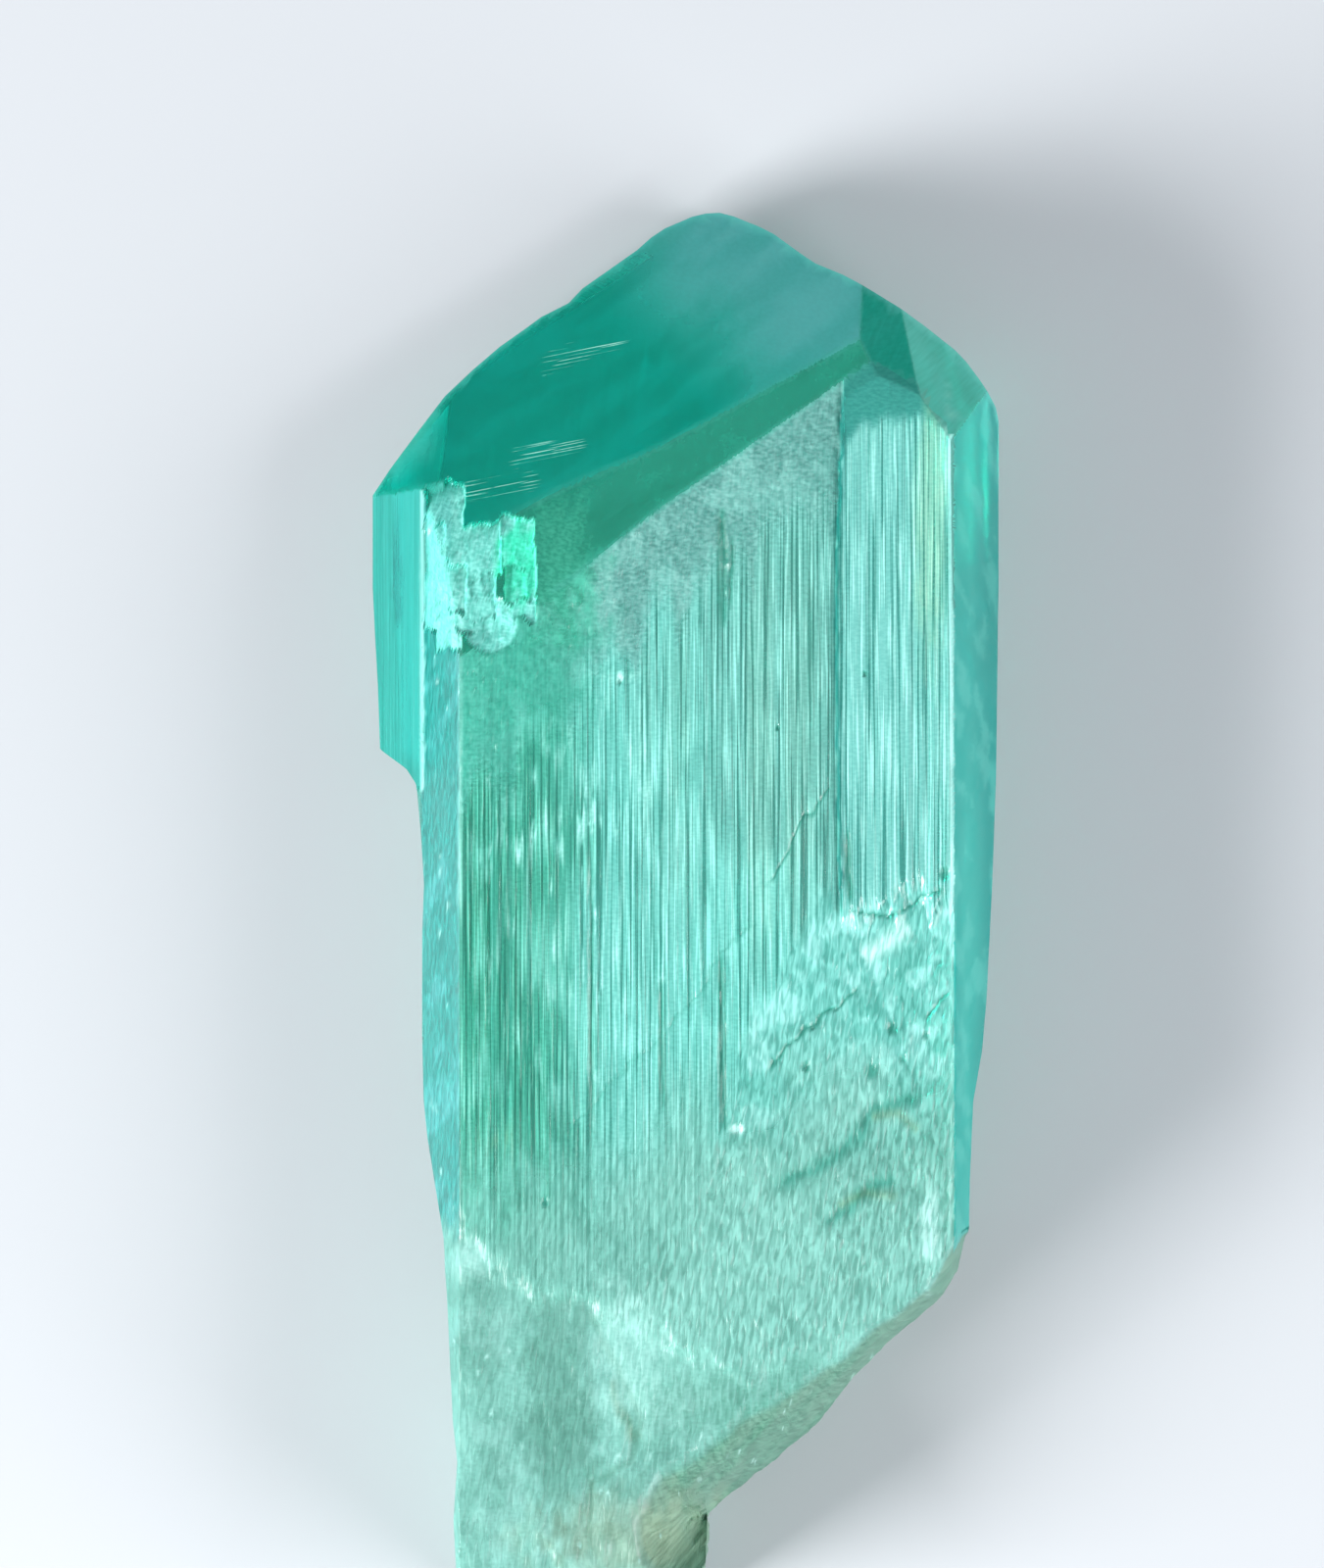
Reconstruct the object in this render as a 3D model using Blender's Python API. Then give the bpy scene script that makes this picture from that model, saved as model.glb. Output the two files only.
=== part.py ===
"""A green spodumene (kunzite) crystal, one natural piece, lying on its broad back face.

It is a flattened blade with its long axis along Y. The terminated end is at +Y, the broken end
at -Y, and the broad striated front face looks up (+Z). Lengths are in millimetres and become
metres through MM. The blade is a striated section carried along Y, cut by the planes of its
flat faces, with a side ledge grown on at the left, a chipped corner, and a worn, broken foot.
"""

import math
import random

import bmesh
import bpy
from mathutils import Matrix, Vector, noise

MM = 0.001
NAME = "kunzite_crystal"

# Driving sizes of the crystal.
LENGTH = 61.5
WIDTH = 27.16
THICKNESS = 11.0
HALF_L = LENGTH / 2
HALF_W = WIDTH / 2

# The front has two levels: a broad face, and a narrow pillar raised beside it on the right.
FACE_LEVEL = 10.65
FACE_LEFT = -9.65
STEP_X = 6.6
STEP_LEAN = 0.12
PILLAR_RIGHT = 11.27

# Widths of the fine ridges that run along the blade, least and most, and the width, least
# depth and most depth of the grooves between them.
FRONT_RIDGE = (0.10, 0.34)
FRONT_GROOVE = (0.14, 0.05, 0.17)
PILLAR_RIDGE = (0.14, 0.30)
PILLAR_GROOVE = (0.16, 0.05, 0.14)
BACK_RIDGE = (0.45, 1.2)
BACK_GROOVE = (0.5, 0.06, 0.22)
BACK_LEFT = -9.4
BACK_RIGHT = 10.7

# The keel, the sharp edge that each flank comes to, has this height on either side.
KEEL_RIGHT = 5.48
KEEL_LEFT = 6.2

# Flat faces: a point on the face, the compass angle it faces in plan (0 is +X, 90 is +Y),
# and its tilt from facing straight up (90 is a wall, more leans under).
BLADE_FACES = {
    "bevel under roof": ((0.0, 18.3, FACE_LEVEL), 125.0, 26.0),
    "pillar cap": ((8.7, 22.9, THICKNESS), 66.0, 36.0),
    "pillar shoulder": ((10.7, 21.2, THICKNESS), 34.0, 56.0),
    "right flank": ((PILLAR_RIGHT, 0.0, THICKNESS), 0.0, 67.3),
    "right flank below": ((12.3, -9.0, 5.6), -4.9, 80.0),
    "left flank": ((FACE_LEFT, 0.0, FACE_LEVEL), 180.0, 68.7),
    "rear right, high": ((2.7, 30.25, 4.0), 56.3, 93.0),
    "rear right, low": ((12.7, 22.95, 7.0), 35.0, 94.0),
    "back right": ((HALF_W, 0.0, KEEL_RIGHT), 0.0, 114.3),
    "back left": ((-11.4, 0.0, KEEL_LEFT), 180.0, 106.2),
}

# The faces of the slanting tip, which cut the blade and the ledge beside it alike.
TIP_FACES = {
    "roof": ((-2.5, 19.6, 9.4), 122.0, 40.0),
    "tip": ((1.19, HALF_L, 3.2), 92.0, 100.0),
    "rear left, high": ((-4.46, 27.05, 3.2), 124.0, 110.0),
    "rear left, middle": ((-10.0, 23.1, 3.6), 137.0, 108.0),
    "rear left, low": ((-12.4, 19.9, 5.0), 147.0, 106.0),
}

# The ledge grown on at the upper left.
LEDGE_FACES = {
    "top": ((-11.3, 12.0, 6.1), 181.0, 18.0),
    "outer side": ((-HALF_W, 16.0, 5.4), 181.8, 108.0),
    "outer edge": ((-HALF_W, 16.0, 5.4), 180.0, 90.0),
    "broken lower end": ((-12.5, 6.8, 5.4), 233.6, 96.0),
    "underside": ((-11.0, 12.0, 0.9), 180.0, 180.0),
    "inner side": ((-7.0, 12.0, 5.0), 0.0, 90.0),
}

# Outline in plan of the foot: the right side, the slanting break, the stub and the left side.
FOOT_OUTLINE = (
    (16.0, -12.6), (12.12, -14.0), (11.75, -15.3), (10.97, -16.5), (8.5, -18.4), (7.2, -19.7),
    (6.1, -21.4), (4.9, -22.6), (3.4, -23.9), (1.7, -25.2), (0.95, -26.0), (0.8, -27.4),
    (1.0, -28.6), (0.4, -30.2), (-1.6, -30.9), (-4.4, -30.3), (-6.6, -31.0), (-8.9, -30.6),
    (-9.75, -29.2), (-9.9, -25.6), (-9.73, -23.0), (-9.94, -21.3), (-10.24, -15.4),
    (-10.36, -13.7), (-10.66, -12.0), (-11.12, -9.45), (-11.5, -6.5), (-16.0, -4.0),
)
FOOT_JAG = 0.14

# The worn foot: the grooves stop at this line in plan, and the surface beyond lies lower.
WORN_LINE = ((-12.0, -10.6), (-10.2, -11.9), (-8.3, -14.6), (-3.75, -15.4), (-0.4, -14.6),
             (1.7, -8.8), (6.6, 0.2), (13.6, 1.2))
WORN_STEP = 0.22
WORN_SLOPE = 0.035
WORN_ROUGHNESS = 0.16
WORN_COARSE_GRAIN = (0.9, 0.45)
WORN_FINE_GRAIN = (2.1, 1.1)
WORN_BLEND = 3.0
WORN_CELLS = (52, 62)
WORN_FIELD = ((-14.5, 14.5), (-33.5, 3.0))

# Along these lines the worn surface rounds over to the break: start, end, the width of the
# rounded band at either, and how far it falls at the outline.
ROUNDED_BANDS = (
    ((12.12, -14.0), (0.95, -26.0), 0.9, 3.6, 5.0),
    ((0.95, -26.0), (0.9, -30.9), 1.6, 1.1, 2.4),
    ((0.9, -30.9), (-9.9, -30.9), 1.1, 1.3, 2.0),
)

# Damage: blocks knocked off the upper left corner (centre, size, turn), and two hollows.
CHIP_BLOCKS = (
    ((-11.1, 17.9, 10.6), (3.6, 3.4, 4.6), 4.0),
    ((-10.5, 14.6, 11.3), (3.4, 3.6, 3.4), -3.0),
    ((-8.1, 15.9, 11.2), (2.7, 2.5, 1.8), 2.0),
    ((-6.1, 13.6, 11.1), (1.3, 1.7, 1.3), -2.0),
)
SCOOP = ((-8.5, 12.5, 12.2), (2.0, 2.2, 2.0))
SLOT_PIT = ((1.75, 15.0, 10.75), (0.32, 2.5, 0.42))

# The outline of an unfinished solid reaches this far past every face that will cut it.
BLANK = 40.0

TONE = (0.10, 0.52, 0.38, 1.0)


def clear_scene():
    """Takes away whatever the scene held before."""
    for thing in list(bpy.data.objects):
        bpy.data.objects.remove(thing)


def make_collection(name):
    """A collection of the scene."""
    group = bpy.data.collections.new(name)
    bpy.context.scene.collection.children.link(group)
    return group


def object_from_bmesh(name, bm, group):
    """An object in a collection, with the mesh that bm holds."""
    mesh = bpy.data.meshes.new(name)
    bm.normal_update()
    bm.to_mesh(mesh)
    bm.free()
    thing = bpy.data.objects.new(name, mesh)
    group.objects.link(thing)
    return thing


def as_cutter(thing):
    """Marks an object as a construction shape that is not part of the crystal."""
    thing.hide_render = True
    thing.display_type = "WIRE"
    return thing


def face_plane(face):
    """The point and the outward normal of a flat face, in metres."""
    point, facing, tilt = face
    turn = math.radians(facing)
    lean = math.radians(tilt)
    normal = Vector((math.cos(turn) * math.sin(lean), math.sin(turn) * math.sin(lean), math.cos(lean)))
    return Vector(point) * MM, normal


def convex_solid(name, faces, group):
    """A closed convex solid: a cube from which each flat face takes away what lies outside it."""
    bm = bmesh.new()
    bmesh.ops.create_cube(bm, size=2 * BLANK * MM)
    for face in faces:
        point, normal = face_plane(face)
        whole = bm.verts[:] + bm.edges[:] + bm.faces[:]
        bmesh.ops.bisect_plane(bm, geom=whole, plane_co=point, plane_no=normal, clear_outer=True)
        bmesh.ops.holes_fill(bm, edges=bm.edges[:], sides=0)
    bmesh.ops.recalc_face_normals(bm, faces=bm.faces[:])
    return object_from_bmesh(name, bm, group)


def outline_solid(name, points, half, group):
    """A closed outline in its own XY plane, given thickness half each way along its own Z."""
    curve = bpy.data.curves.new(name, "CURVE")
    curve.dimensions = "2D"
    curve.fill_mode = "BOTH"
    curve.extrude = half * MM
    spline = curve.splines.new("POLY")
    spline.points.add(len(points) - 1)
    for spot, (x, y) in zip(spline.points, points):
        spot.co = (x * MM, y * MM, 0.0, 1.0)
    spline.use_cyclic_u = True
    source = bpy.data.objects.new(name + "_outline", curve)
    group.objects.link(source)
    bpy.context.view_layer.update()
    mesh = bpy.data.meshes.new_from_object(source.evaluated_get(bpy.context.evaluated_depsgraph_get()))
    bpy.data.objects.remove(source)
    bm = bmesh.new()
    bm.from_mesh(mesh)
    bpy.data.meshes.remove(mesh)
    bmesh.ops.remove_doubles(bm, verts=bm.verts[:], dist=0.001 * MM)
    bmesh.ops.recalc_face_normals(bm, faces=bm.faces[:])
    return object_from_bmesh(name, bm, group)


def grooves(start, end, level, ridge, groove, seed):
    """Points of the narrow grooves between uneven ridges, from start to end at a level."""
    dice = random.Random(seed)
    width, least_depth, most_depth = groove
    points = []
    x = start + dice.uniform(*ridge)
    while x + width + ridge[0] < end:
        bottom = x + dice.uniform(0.25, 0.75) * width
        points += [(x, level), (bottom, level - dice.uniform(least_depth, most_depth)), (x + width, level)]
        x += width + dice.uniform(*ridge)
    return points


def blade(group):
    """The long blade: its striated section, carried along Y and still square at both ends."""
    front = grooves(FACE_LEFT - 1.0, STEP_X, FACE_LEVEL, FRONT_RIDGE, FRONT_GROOVE, seed=3)
    step = [(STEP_X, FACE_LEVEL), (STEP_X + STEP_LEAN, THICKNESS)]
    pillar = grooves(STEP_X + STEP_LEAN, PILLAR_RIGHT, THICKNESS, PILLAR_RIDGE, PILLAR_GROOVE, seed=8)
    back = grooves(BACK_LEFT, BACK_RIGHT, 0.0, BACK_RIDGE, BACK_GROOVE, seed=5)
    # Grooves of the back are cut upwards into the blade, and its outline runs from right to left.
    back = [(x, -z) for x, z in reversed(back)]
    section = front + step + pillar + [(BLANK, THICKNESS), (BLANK, 0.0)] + back
    section += [(-BLANK, 0.0), (-BLANK, FACE_LEVEL)]
    solid = outline_solid(NAME, section, HALF_L, group)
    # Stand the section up, so that its own Y becomes height and its own Z runs along the blade.
    solid.data.transform(Matrix.Rotation(math.radians(90), 4, "X"))
    return solid


def jagged(points, amount, seed):
    """The outline with an uneven corner added halfway along each of its sides."""
    dice = random.Random(seed)
    result = []
    for here, there in zip(points, points[1:]):
        result.append(here)
        middle = [(a + b) / 2 + dice.uniform(-amount, amount) for a, b in zip(here, there)]
        result.append(tuple(middle))
    result.append(points[-1])
    return result


def foot_shape(group):
    """A tall solid whose outline in plan is that of the broken foot."""
    foot = jagged(FOOT_OUTLINE, FOOT_JAG, seed=11)
    right_side = FOOT_OUTLINE[0][1]
    left_side = FOOT_OUTLINE[-1][1]
    around = [(-BLANK, BLANK), (BLANK, BLANK), (BLANK, right_side)] + foot + [(-BLANK, left_side)]
    return outline_solid("foot_shape", around, 2 * THICKNESS, group)


def line_height(line, x):
    """The y of a line in plan at x."""
    for (x0, y0), (x1, y1) in zip(line, line[1:]):
        if x <= x1:
            return y0 + (y1 - y0) * max(0.0, (x - x0) / (x1 - x0))
    return line[-1][1]


def band_fall(x, y, band):
    """How far the worn surface falls at a point in plan inside one rounded band."""
    (x0, y0), (x1, y1), first_width, last_width, fall = band
    length = math.hypot(x1 - x0, y1 - y0)
    along = ((x - x0) * (x1 - x0) + (y - y0) * (y1 - y0)) / length
    across = ((x - x0) * (y1 - y0) - (y - y0) * (x1 - x0)) / length
    share = min(1.0, max(0.0, along / length))
    past_end = along - share * length
    inside = math.hypot(across, past_end) if past_end else across
    width = first_width + (last_width - first_width) * share
    return fall * max(0.0, 1.0 - inside / width) ** 1.6


def worn_height(x, y):
    """Height of the worn surface at a point in plan, above the blade where nothing is worn."""
    past = line_height(WORN_LINE, x) - y
    if past < 0.0:
        return THICKNESS + 1.0
    rise = min(1.0, max(0.0, 1.0 + (x - STEP_X) / WORN_BLEND))
    level = FACE_LEVEL + (THICKNESS - FACE_LEVEL) * rise - WORN_STEP - WORN_SLOPE * past
    coarse = noise.noise(Vector((x * WORN_COARSE_GRAIN[0], y * WORN_COARSE_GRAIN[1], 0.0)))
    fine = noise.noise(Vector((x * WORN_FINE_GRAIN[0], y * WORN_FINE_GRAIN[1], 5.0)))
    return level + WORN_ROUGHNESS * (coarse + fine / 2) - max(band_fall(x, y, band) for band in ROUNDED_BANDS)


def worn_cutter(group):
    """What lies above the worn surface: a grid at that height, closed upwards."""
    cells_x, cells_y = WORN_CELLS
    bm = bmesh.new()
    bmesh.ops.create_grid(bm, x_segments=cells_x, y_segments=cells_y, size=0.5)
    (left, right), (low, high) = WORN_FIELD
    for vert in bm.verts:
        x = left + (right - left) * (vert.co.x + 0.5)
        y = low + (high - low) * (vert.co.y + 0.5)
        vert.co = Vector((x, y, worn_height(x, y))) * MM
    rim = [edge for edge in bm.edges if edge.is_boundary]
    raised = bmesh.ops.extrude_edge_only(bm, edges=rim)["geom"]
    for vert in raised:
        if isinstance(vert, bmesh.types.BMVert):
            vert.co.z = 2 * THICKNESS * MM
    bmesh.ops.holes_fill(bm, edges=bm.edges[:], sides=0)
    bmesh.ops.recalc_face_normals(bm, faces=bm.faces[:])
    return object_from_bmesh("worn_cutter", bm, group)


def block(name, centre, size, turn, group):
    """A rectangular block, turned about the vertical."""
    bm = bmesh.new()
    bmesh.ops.create_cube(bm, size=1.0)
    shape = Matrix.Rotation(math.radians(turn), 4, "Z") @ Matrix.Diagonal(Vector(size) * MM).to_4x4()
    bm.transform(Matrix.Translation(Vector(centre) * MM) @ shape)
    return object_from_bmesh(name, bm, group)


def hollow(name, centre, radii, group):
    """A faceted ball, stretched to its three radii, that leaves a shell shaped hollow."""
    bm = bmesh.new()
    bmesh.ops.create_icosphere(bm, subdivisions=3, radius=1.0)
    bm.transform(Matrix.Translation(Vector(centre) * MM) @ Matrix.Diagonal(Vector(radii) * MM).to_4x4())
    return object_from_bmesh(name, bm, group)


def combine(thing, cutter, operation):
    """Adds a Boolean modifier to the crystal."""
    step = thing.modifiers.new(cutter.name, "BOOLEAN")
    step.operation = operation
    step.object = as_cutter(cutter)
    step.solver = "EXACT"


def spodumene():
    """The clear green material of the crystal."""
    material = bpy.data.materials.new("green_spodumene")
    material.use_nodes = True
    shader = material.node_tree.nodes["Principled BSDF"]
    shader.inputs["Base Color"].default_value = TONE
    shader.inputs["Roughness"].default_value = 0.12
    shader.inputs["Metallic"].default_value = 0.0
    shader.inputs["IOR"].default_value = 1.66
    shader.inputs["Transmission Weight"].default_value = 0.8
    return material


def build():
    """Models the crystal."""
    clear_scene()
    parts = make_collection(NAME)
    cutters = make_collection("construction")
    crystal = blade(parts)
    combine(crystal, convex_solid("blade_faces", BLADE_FACES.values(), cutters), "INTERSECT")
    combine(crystal, convex_solid("side_ledge", LEDGE_FACES.values(), cutters), "UNION")
    combine(crystal, convex_solid("tip_faces", TIP_FACES.values(), cutters), "INTERSECT")
    for number, (centre, size, turn) in enumerate(CHIP_BLOCKS, start=1):
        combine(crystal, block(f"chip_{number}", centre, size, turn, cutters), "DIFFERENCE")
    combine(crystal, hollow("scoop", *SCOOP, cutters), "DIFFERENCE")
    combine(crystal, hollow("slot_pit", *SLOT_PIT, cutters), "DIFFERENCE")
    combine(crystal, worn_cutter(cutters), "DIFFERENCE")
    combine(crystal, foot_shape(cutters), "INTERSECT")
    crystal.data.materials.append(spodumene())


build()
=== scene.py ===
# %% [markdown]
# # A green spodumene crystal
#
# This script dresses one crystal, a flat, striated blade of clear green spodumene. It lies on
# its broad back face, and the camera looks straight down on its front. The solid model that is
# loaded first fixes its size and place, and all that follows makes its surface and look.

# %% Load the solid model
import math

import bpy
import numpy as np
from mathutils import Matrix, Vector


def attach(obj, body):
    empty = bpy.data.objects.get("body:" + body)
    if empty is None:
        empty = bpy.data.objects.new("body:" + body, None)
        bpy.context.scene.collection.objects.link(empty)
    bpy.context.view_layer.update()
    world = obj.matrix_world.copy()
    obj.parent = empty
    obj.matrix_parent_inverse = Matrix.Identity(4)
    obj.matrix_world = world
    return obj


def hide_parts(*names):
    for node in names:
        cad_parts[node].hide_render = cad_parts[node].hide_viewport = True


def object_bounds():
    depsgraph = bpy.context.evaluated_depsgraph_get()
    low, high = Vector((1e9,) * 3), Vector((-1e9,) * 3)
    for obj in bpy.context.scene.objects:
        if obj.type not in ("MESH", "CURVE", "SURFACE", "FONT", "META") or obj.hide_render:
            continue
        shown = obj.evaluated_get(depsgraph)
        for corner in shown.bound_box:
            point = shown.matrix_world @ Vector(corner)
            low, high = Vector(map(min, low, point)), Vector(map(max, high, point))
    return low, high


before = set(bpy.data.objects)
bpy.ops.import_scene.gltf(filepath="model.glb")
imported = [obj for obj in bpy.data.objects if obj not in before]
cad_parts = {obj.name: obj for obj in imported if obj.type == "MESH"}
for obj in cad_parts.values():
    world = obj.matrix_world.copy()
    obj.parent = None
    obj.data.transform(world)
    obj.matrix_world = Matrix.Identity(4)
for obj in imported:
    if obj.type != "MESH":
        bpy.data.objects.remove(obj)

NODE = "kunzite_crystal"
scene = bpy.context.scene
CAD_BOX = [[float(v) for v in corner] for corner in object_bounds()]
print("solid model from", CAD_BOX[0], "to", CAD_BOX[1])

# %% [markdown]
# A crystal is what is left between flat faces, so the front starts as a list of planes: a
# point on each, the compass angle it faces and its tilt from facing straight up. Lengths are
# in millimetres, and become metres when the mesh is made.

# %% The flat faces
MM = 0.001
HALF_W = 13.58
THICK = 11
FACE_LEVEL = 10.65
FACE_LEFT = -9.65
PILLAR_RIGHT = 11.27
KEEL_RIGHT = 5.48
KEEL_LEFT = 6.2
KEEL_LEFT_X = -11.39

FACES = {
    "roof": ((-2.5, 19.6, 9.4), 122, 40),
    "bevel": ((0, 18.3, FACE_LEVEL), 125, 26),
    "cap": ((8.7, 22.9, THICK), 66, 36),
    "shoulder": ((10.7, 21.2, THICK), 34, 56),
    "right flank": ((PILLAR_RIGHT, 0, THICK), 0, 67.3),
    "left flank": ((FACE_LEFT, 0, FACE_LEVEL), 180, 68.7),
    "ledge top": ((-11.3, 12, 6.1), 181, 18),
}


def plane(name):
    """Point and outward normal of a face: its compass angle and tilt, as a unit vector."""
    point, facing, tilt = FACES[name]
    turn, lean = math.radians(facing), math.radians(tilt)
    normal = (math.cos(turn) * math.sin(lean), math.sin(turn) * math.sin(lean), math.cos(lean))
    return np.array(point), np.array(normal)


def height_on(name, x, y):
    """Height of a face above each point in plan."""
    point, normal = plane(name)
    return point[2] - (normal[0] * (x - point[0]) + normal[1] * (y - point[1])) / normal[2]


print(len(FACES), "flat faces, the roof", height_on("roof", 0, 28).round(2), "mm high near the tip")

# %% [markdown]
# Nothing in a stone repeats, so its unevenness comes from smooth random fields. A lattice
# that is long one way gives streaks, and a sum of ever finer fields gives a broken surface.

# %% Random fields
LATTICE = 512


def field(x, y, size_x, size_y, seed):
    """Smooth random height from -1 to 1: a random lattice, eased between with 3t^2 - 2t^3."""
    table = np.random.default_rng(seed).uniform(-1, 1, (LATTICE, LATTICE))
    across, along = x / size_x, y / size_y
    column, row = np.floor(across).astype(int), np.floor(along).astype(int)
    s, t = across - column, along - row
    s, t = s * s * (3 - 2 * s), t * t * (3 - 2 * t)
    c0, c1 = column % LATTICE, (column + 1) % LATTICE
    r0, r1 = row % LATTICE, (row + 1) % LATTICE
    low = table[r0, c0] * (1 - s) + table[r0, c1] * s
    high = table[r1, c0] * (1 - s) + table[r1, c1] * s
    return low * (1 - t) + high * t


def fractal(x, y, size_x, size_y, seed, layers=3):
    """Sum of fields, each half the size and half the height of the one before."""
    total = 0
    for layer in range(layers):
        half = 0.5 ** layer
        total = total + half * field(x, y, size_x * half, size_y * half, seed + layer)
    return total


def ease(value, low, high):
    """0 below low, 1 above high, and an even S between."""
    t = np.clip((value - low) / (high - low), 0, 1)
    return t * t * (3 - 2 * t)


def along_line(points, x, y):
    """Distance in plan to a bent line, and how far along it the nearest place is, 0 to 1."""
    points = np.array(points, float)
    lengths = np.hypot(*np.diff(points, axis=0).T)
    before = np.concatenate([[0], np.cumsum(lengths)])
    best, place = np.full(np.shape(x), 1e9), np.zeros(np.shape(x))
    for (x0, y0), (x1, y1), length, start in zip(points, points[1:], lengths, before):
        t = np.clip(((x - x0) * (x1 - x0) + (y - y0) * (y1 - y0)) / length ** 2, 0, 1)
        distance = np.hypot(x - x0 - t * (x1 - x0), y - y0 - t * (y1 - y0))
        nearer = distance < best
        best = np.where(nearer, distance, best)
        place = np.where(nearer, (start + t * length) / before[-1], place)
    return best, place


sample = fractal(np.linspace(0, 50, 1000), np.zeros(1000), 1, 4, 1)
print("a broken field runs from", sample.min().round(2), "to", sample.max().round(2))

# %% [markdown]
# The front is a height above each point in plan, and each mark of growth or damage is a small
# height taken away from it. First come the fine ridges along the blade, and the step up to the
# pillar at its right.

# %% The broad face, its ridges and the step to the pillar
STEP_LINE = ((6.72, 23), (6.4, 14.1), (6.46, 5.8), (6.6, 0), (6.66, -6), (6.5, -31))
STEP_WIDTH = 0.16
RIDGE_DEPTH = 0.075
PILLAR_DEPTH = 0.09


def step_x(y):
    """X of the step between the broad face and the pillar, all along the blade."""
    line = np.array(STEP_LINE)[::-1]
    return np.interp(y, line[:, 1], line[:, 0])


def ridges(x, y):
    """Depth of the growth ridges from 0 to 1: folded fields with sharp crests, long along the blade."""
    broad = 1 - np.abs(field(x, y, 0.62, 34, 3))
    middle = 1 - np.abs(field(x, y, 0.27, 19, 4))
    fine = 1 - np.abs(field(x, y, 0.13, 9, 5))
    return 0.42 * broad ** 3 + 0.38 * middle ** 2.5 + 0.2 * fine ** 2


print("step from", step_x(-31), "to", step_x(23), "mm right of the middle")

# %% [markdown]
# The lower right was etched, and looks scaly, like wood grain. The foot was broken, and is
# lumpy and lower. A painted bump would look flat at the edges, so both are real relief.

# %% The etched part, the worn foot and its break
ETCHED_LINE = ((-12, -22), (-2.6, -15.6), (0.2, -12.6), (1.7, -7.4), (3.6, -2.6), (5.2, 0.2),
               (6.3, 0.9), (8.4, 0.5), (11.2, 1.6), (14, 2.2))
WORN_LINE = ((-12, -10.4), (-10.2, -11.8), (-9, -13.2), (-8.3, -14.5), (-6.6, -15.3), (-3.75, -15.6),
             (-2.4, -16.6), (0.4, -18.4), (3, -18.8), (6, -17.8), (8.6, -16.4), (12.5, -13.8))
FOOT_EDGE = ((-4.2, -16.4), (-3.4, -18.2), (-2, -21.1), (-2.2, -23), (-4.05, -24), (-4.1, -26.8))
LOWER_LINE = ((-10.5, -26.5), (-6.5, -26), (-4.6, -27.3), (-2, -25.5), (0.5, -24), (2.5, -23.2))
BREAK_BANDS = (
    ((12.2, -13.9), (11.2, -16.5), 0.8, 1.3, 4.6),
    ((11.2, -16.5), (6.6, -21.1), 1.3, 2.3, 5.2),
    ((6.6, -21.1), (0.95, -26), 2.3, 3.6, 5.2),
    ((0.95, -26), (0.9, -30.9), 1.4, 1, 2.2),
    ((0.9, -30.9), (-9.9, -30.9), 1.1, 1.2, 2),
)


def below(line, x, y):
    """How far a point lies below a line in plan, measured along the blade."""
    line = np.array(line)
    return np.interp(x, line[:, 0], line[:, 1]) - y


def band_fall(band, x, y):
    """How far the front rounds down near a side of the break: a power of the way to its edge."""
    (x0, y0), (x1, y1), first_width, last_width, fall = band
    length = math.hypot(x1 - x0, y1 - y0)
    along = ((x - x0) * (x1 - x0) + (y - y0) * (y1 - y0)) / length
    across = ((x - x0) * (y1 - y0) - (y - y0) * (x1 - x0)) / length
    past_end = along - np.clip(along, 0, length)
    share = (along - past_end) / length
    inside = np.where(past_end == 0, across, np.hypot(across, past_end))
    width = (first_width + (last_width - first_width) * share) * (1 + 0.12 * fractal(x, y, 2.4, 2.4, 90))
    return fall * np.clip(1 - inside / width, 0, 1.15) ** 1.6


def etched(x, y):
    """Depth of the scaly relief: fine, leaning fields folded into ridges, on low broad swells."""
    scales = fractal(x - 0.12 * y + 0.2 * field(x, y, 0.5, 0.6, 21), y, 0.24, 0.9, 22)
    return 0.07 - 0.036 * np.abs(scales) + 0.05 * fractal(x + 0.4 * y, y, 1.6, 2.6, 25)


def worn(x, y):
    """Depth of the broken foot: broad lumps under fine, slightly upright lumps."""
    lumps = fractal(x, y, 3.4, 4.2, 31, layers=2)
    small = fractal(x, y, 0.9, 1.6, 35, layers=3)
    edge = np.exp(-(along_line(FOOT_EDGE, x, y)[0] / 0.45) ** 2)
    return 0.22 + 0.1 * lumps + 0.05 * small + 0.1 * edge


print(len(BREAK_BANDS), "bands round the break, up to", max(band[-1] for band in BREAK_BANDS), "mm deep")

# %% [markdown]
# Thin growth lines cross the blade, long grooves follow it, and small pits dot it. Each is a
# smooth notch in the height, which is simpler than a boolean cut and never tears.

# %% Growth lines, grooves and pits
GROWTH_LINES = (
    (((6.3, 5.8), (5.6, 4.9), (4.9, 4.1), (4.4, 3.2), (3.9, 2.2), (3.4, 1.2)), 0.07, 0.07),
    (((11.2, 1.4), (10.2, 1), (9.6, 0.5), (8.8, 0.15), (7.7, 0.3), (6.6, 0.5)), 0.07, 0.06),
    (((3.4, 0.1), (2.5, -0.4), (1.9, -0.9), (1.1, -2.2), (0.6, -3.2), (-1, -4.9), (-2.4, -6.2),
      (-4.4, -8.4), (-5.7, -9.9)), 0.07, 0.035),
    (((7.6, -2.8), (6.2, -3.8), (5.2, -4.6), (4.2, -5.4), (3.3, -6.7)), 0.09, 0.08),
    (((11.2, -3), (10.6, -3.7), (10.1, -4.3)), 0.08, 0.06),
    (((10.2, -7.9), (9.3, -7.6), (8.2, -8.1), (6.9, -9.6), (5.4, -10.6), (3.4, -11.6)), 0.38, 0.05),
    (((9, -11), (8, -11.2), (7, -12.3), (5.6, -13)), 0.3, 0.05),
)
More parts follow.
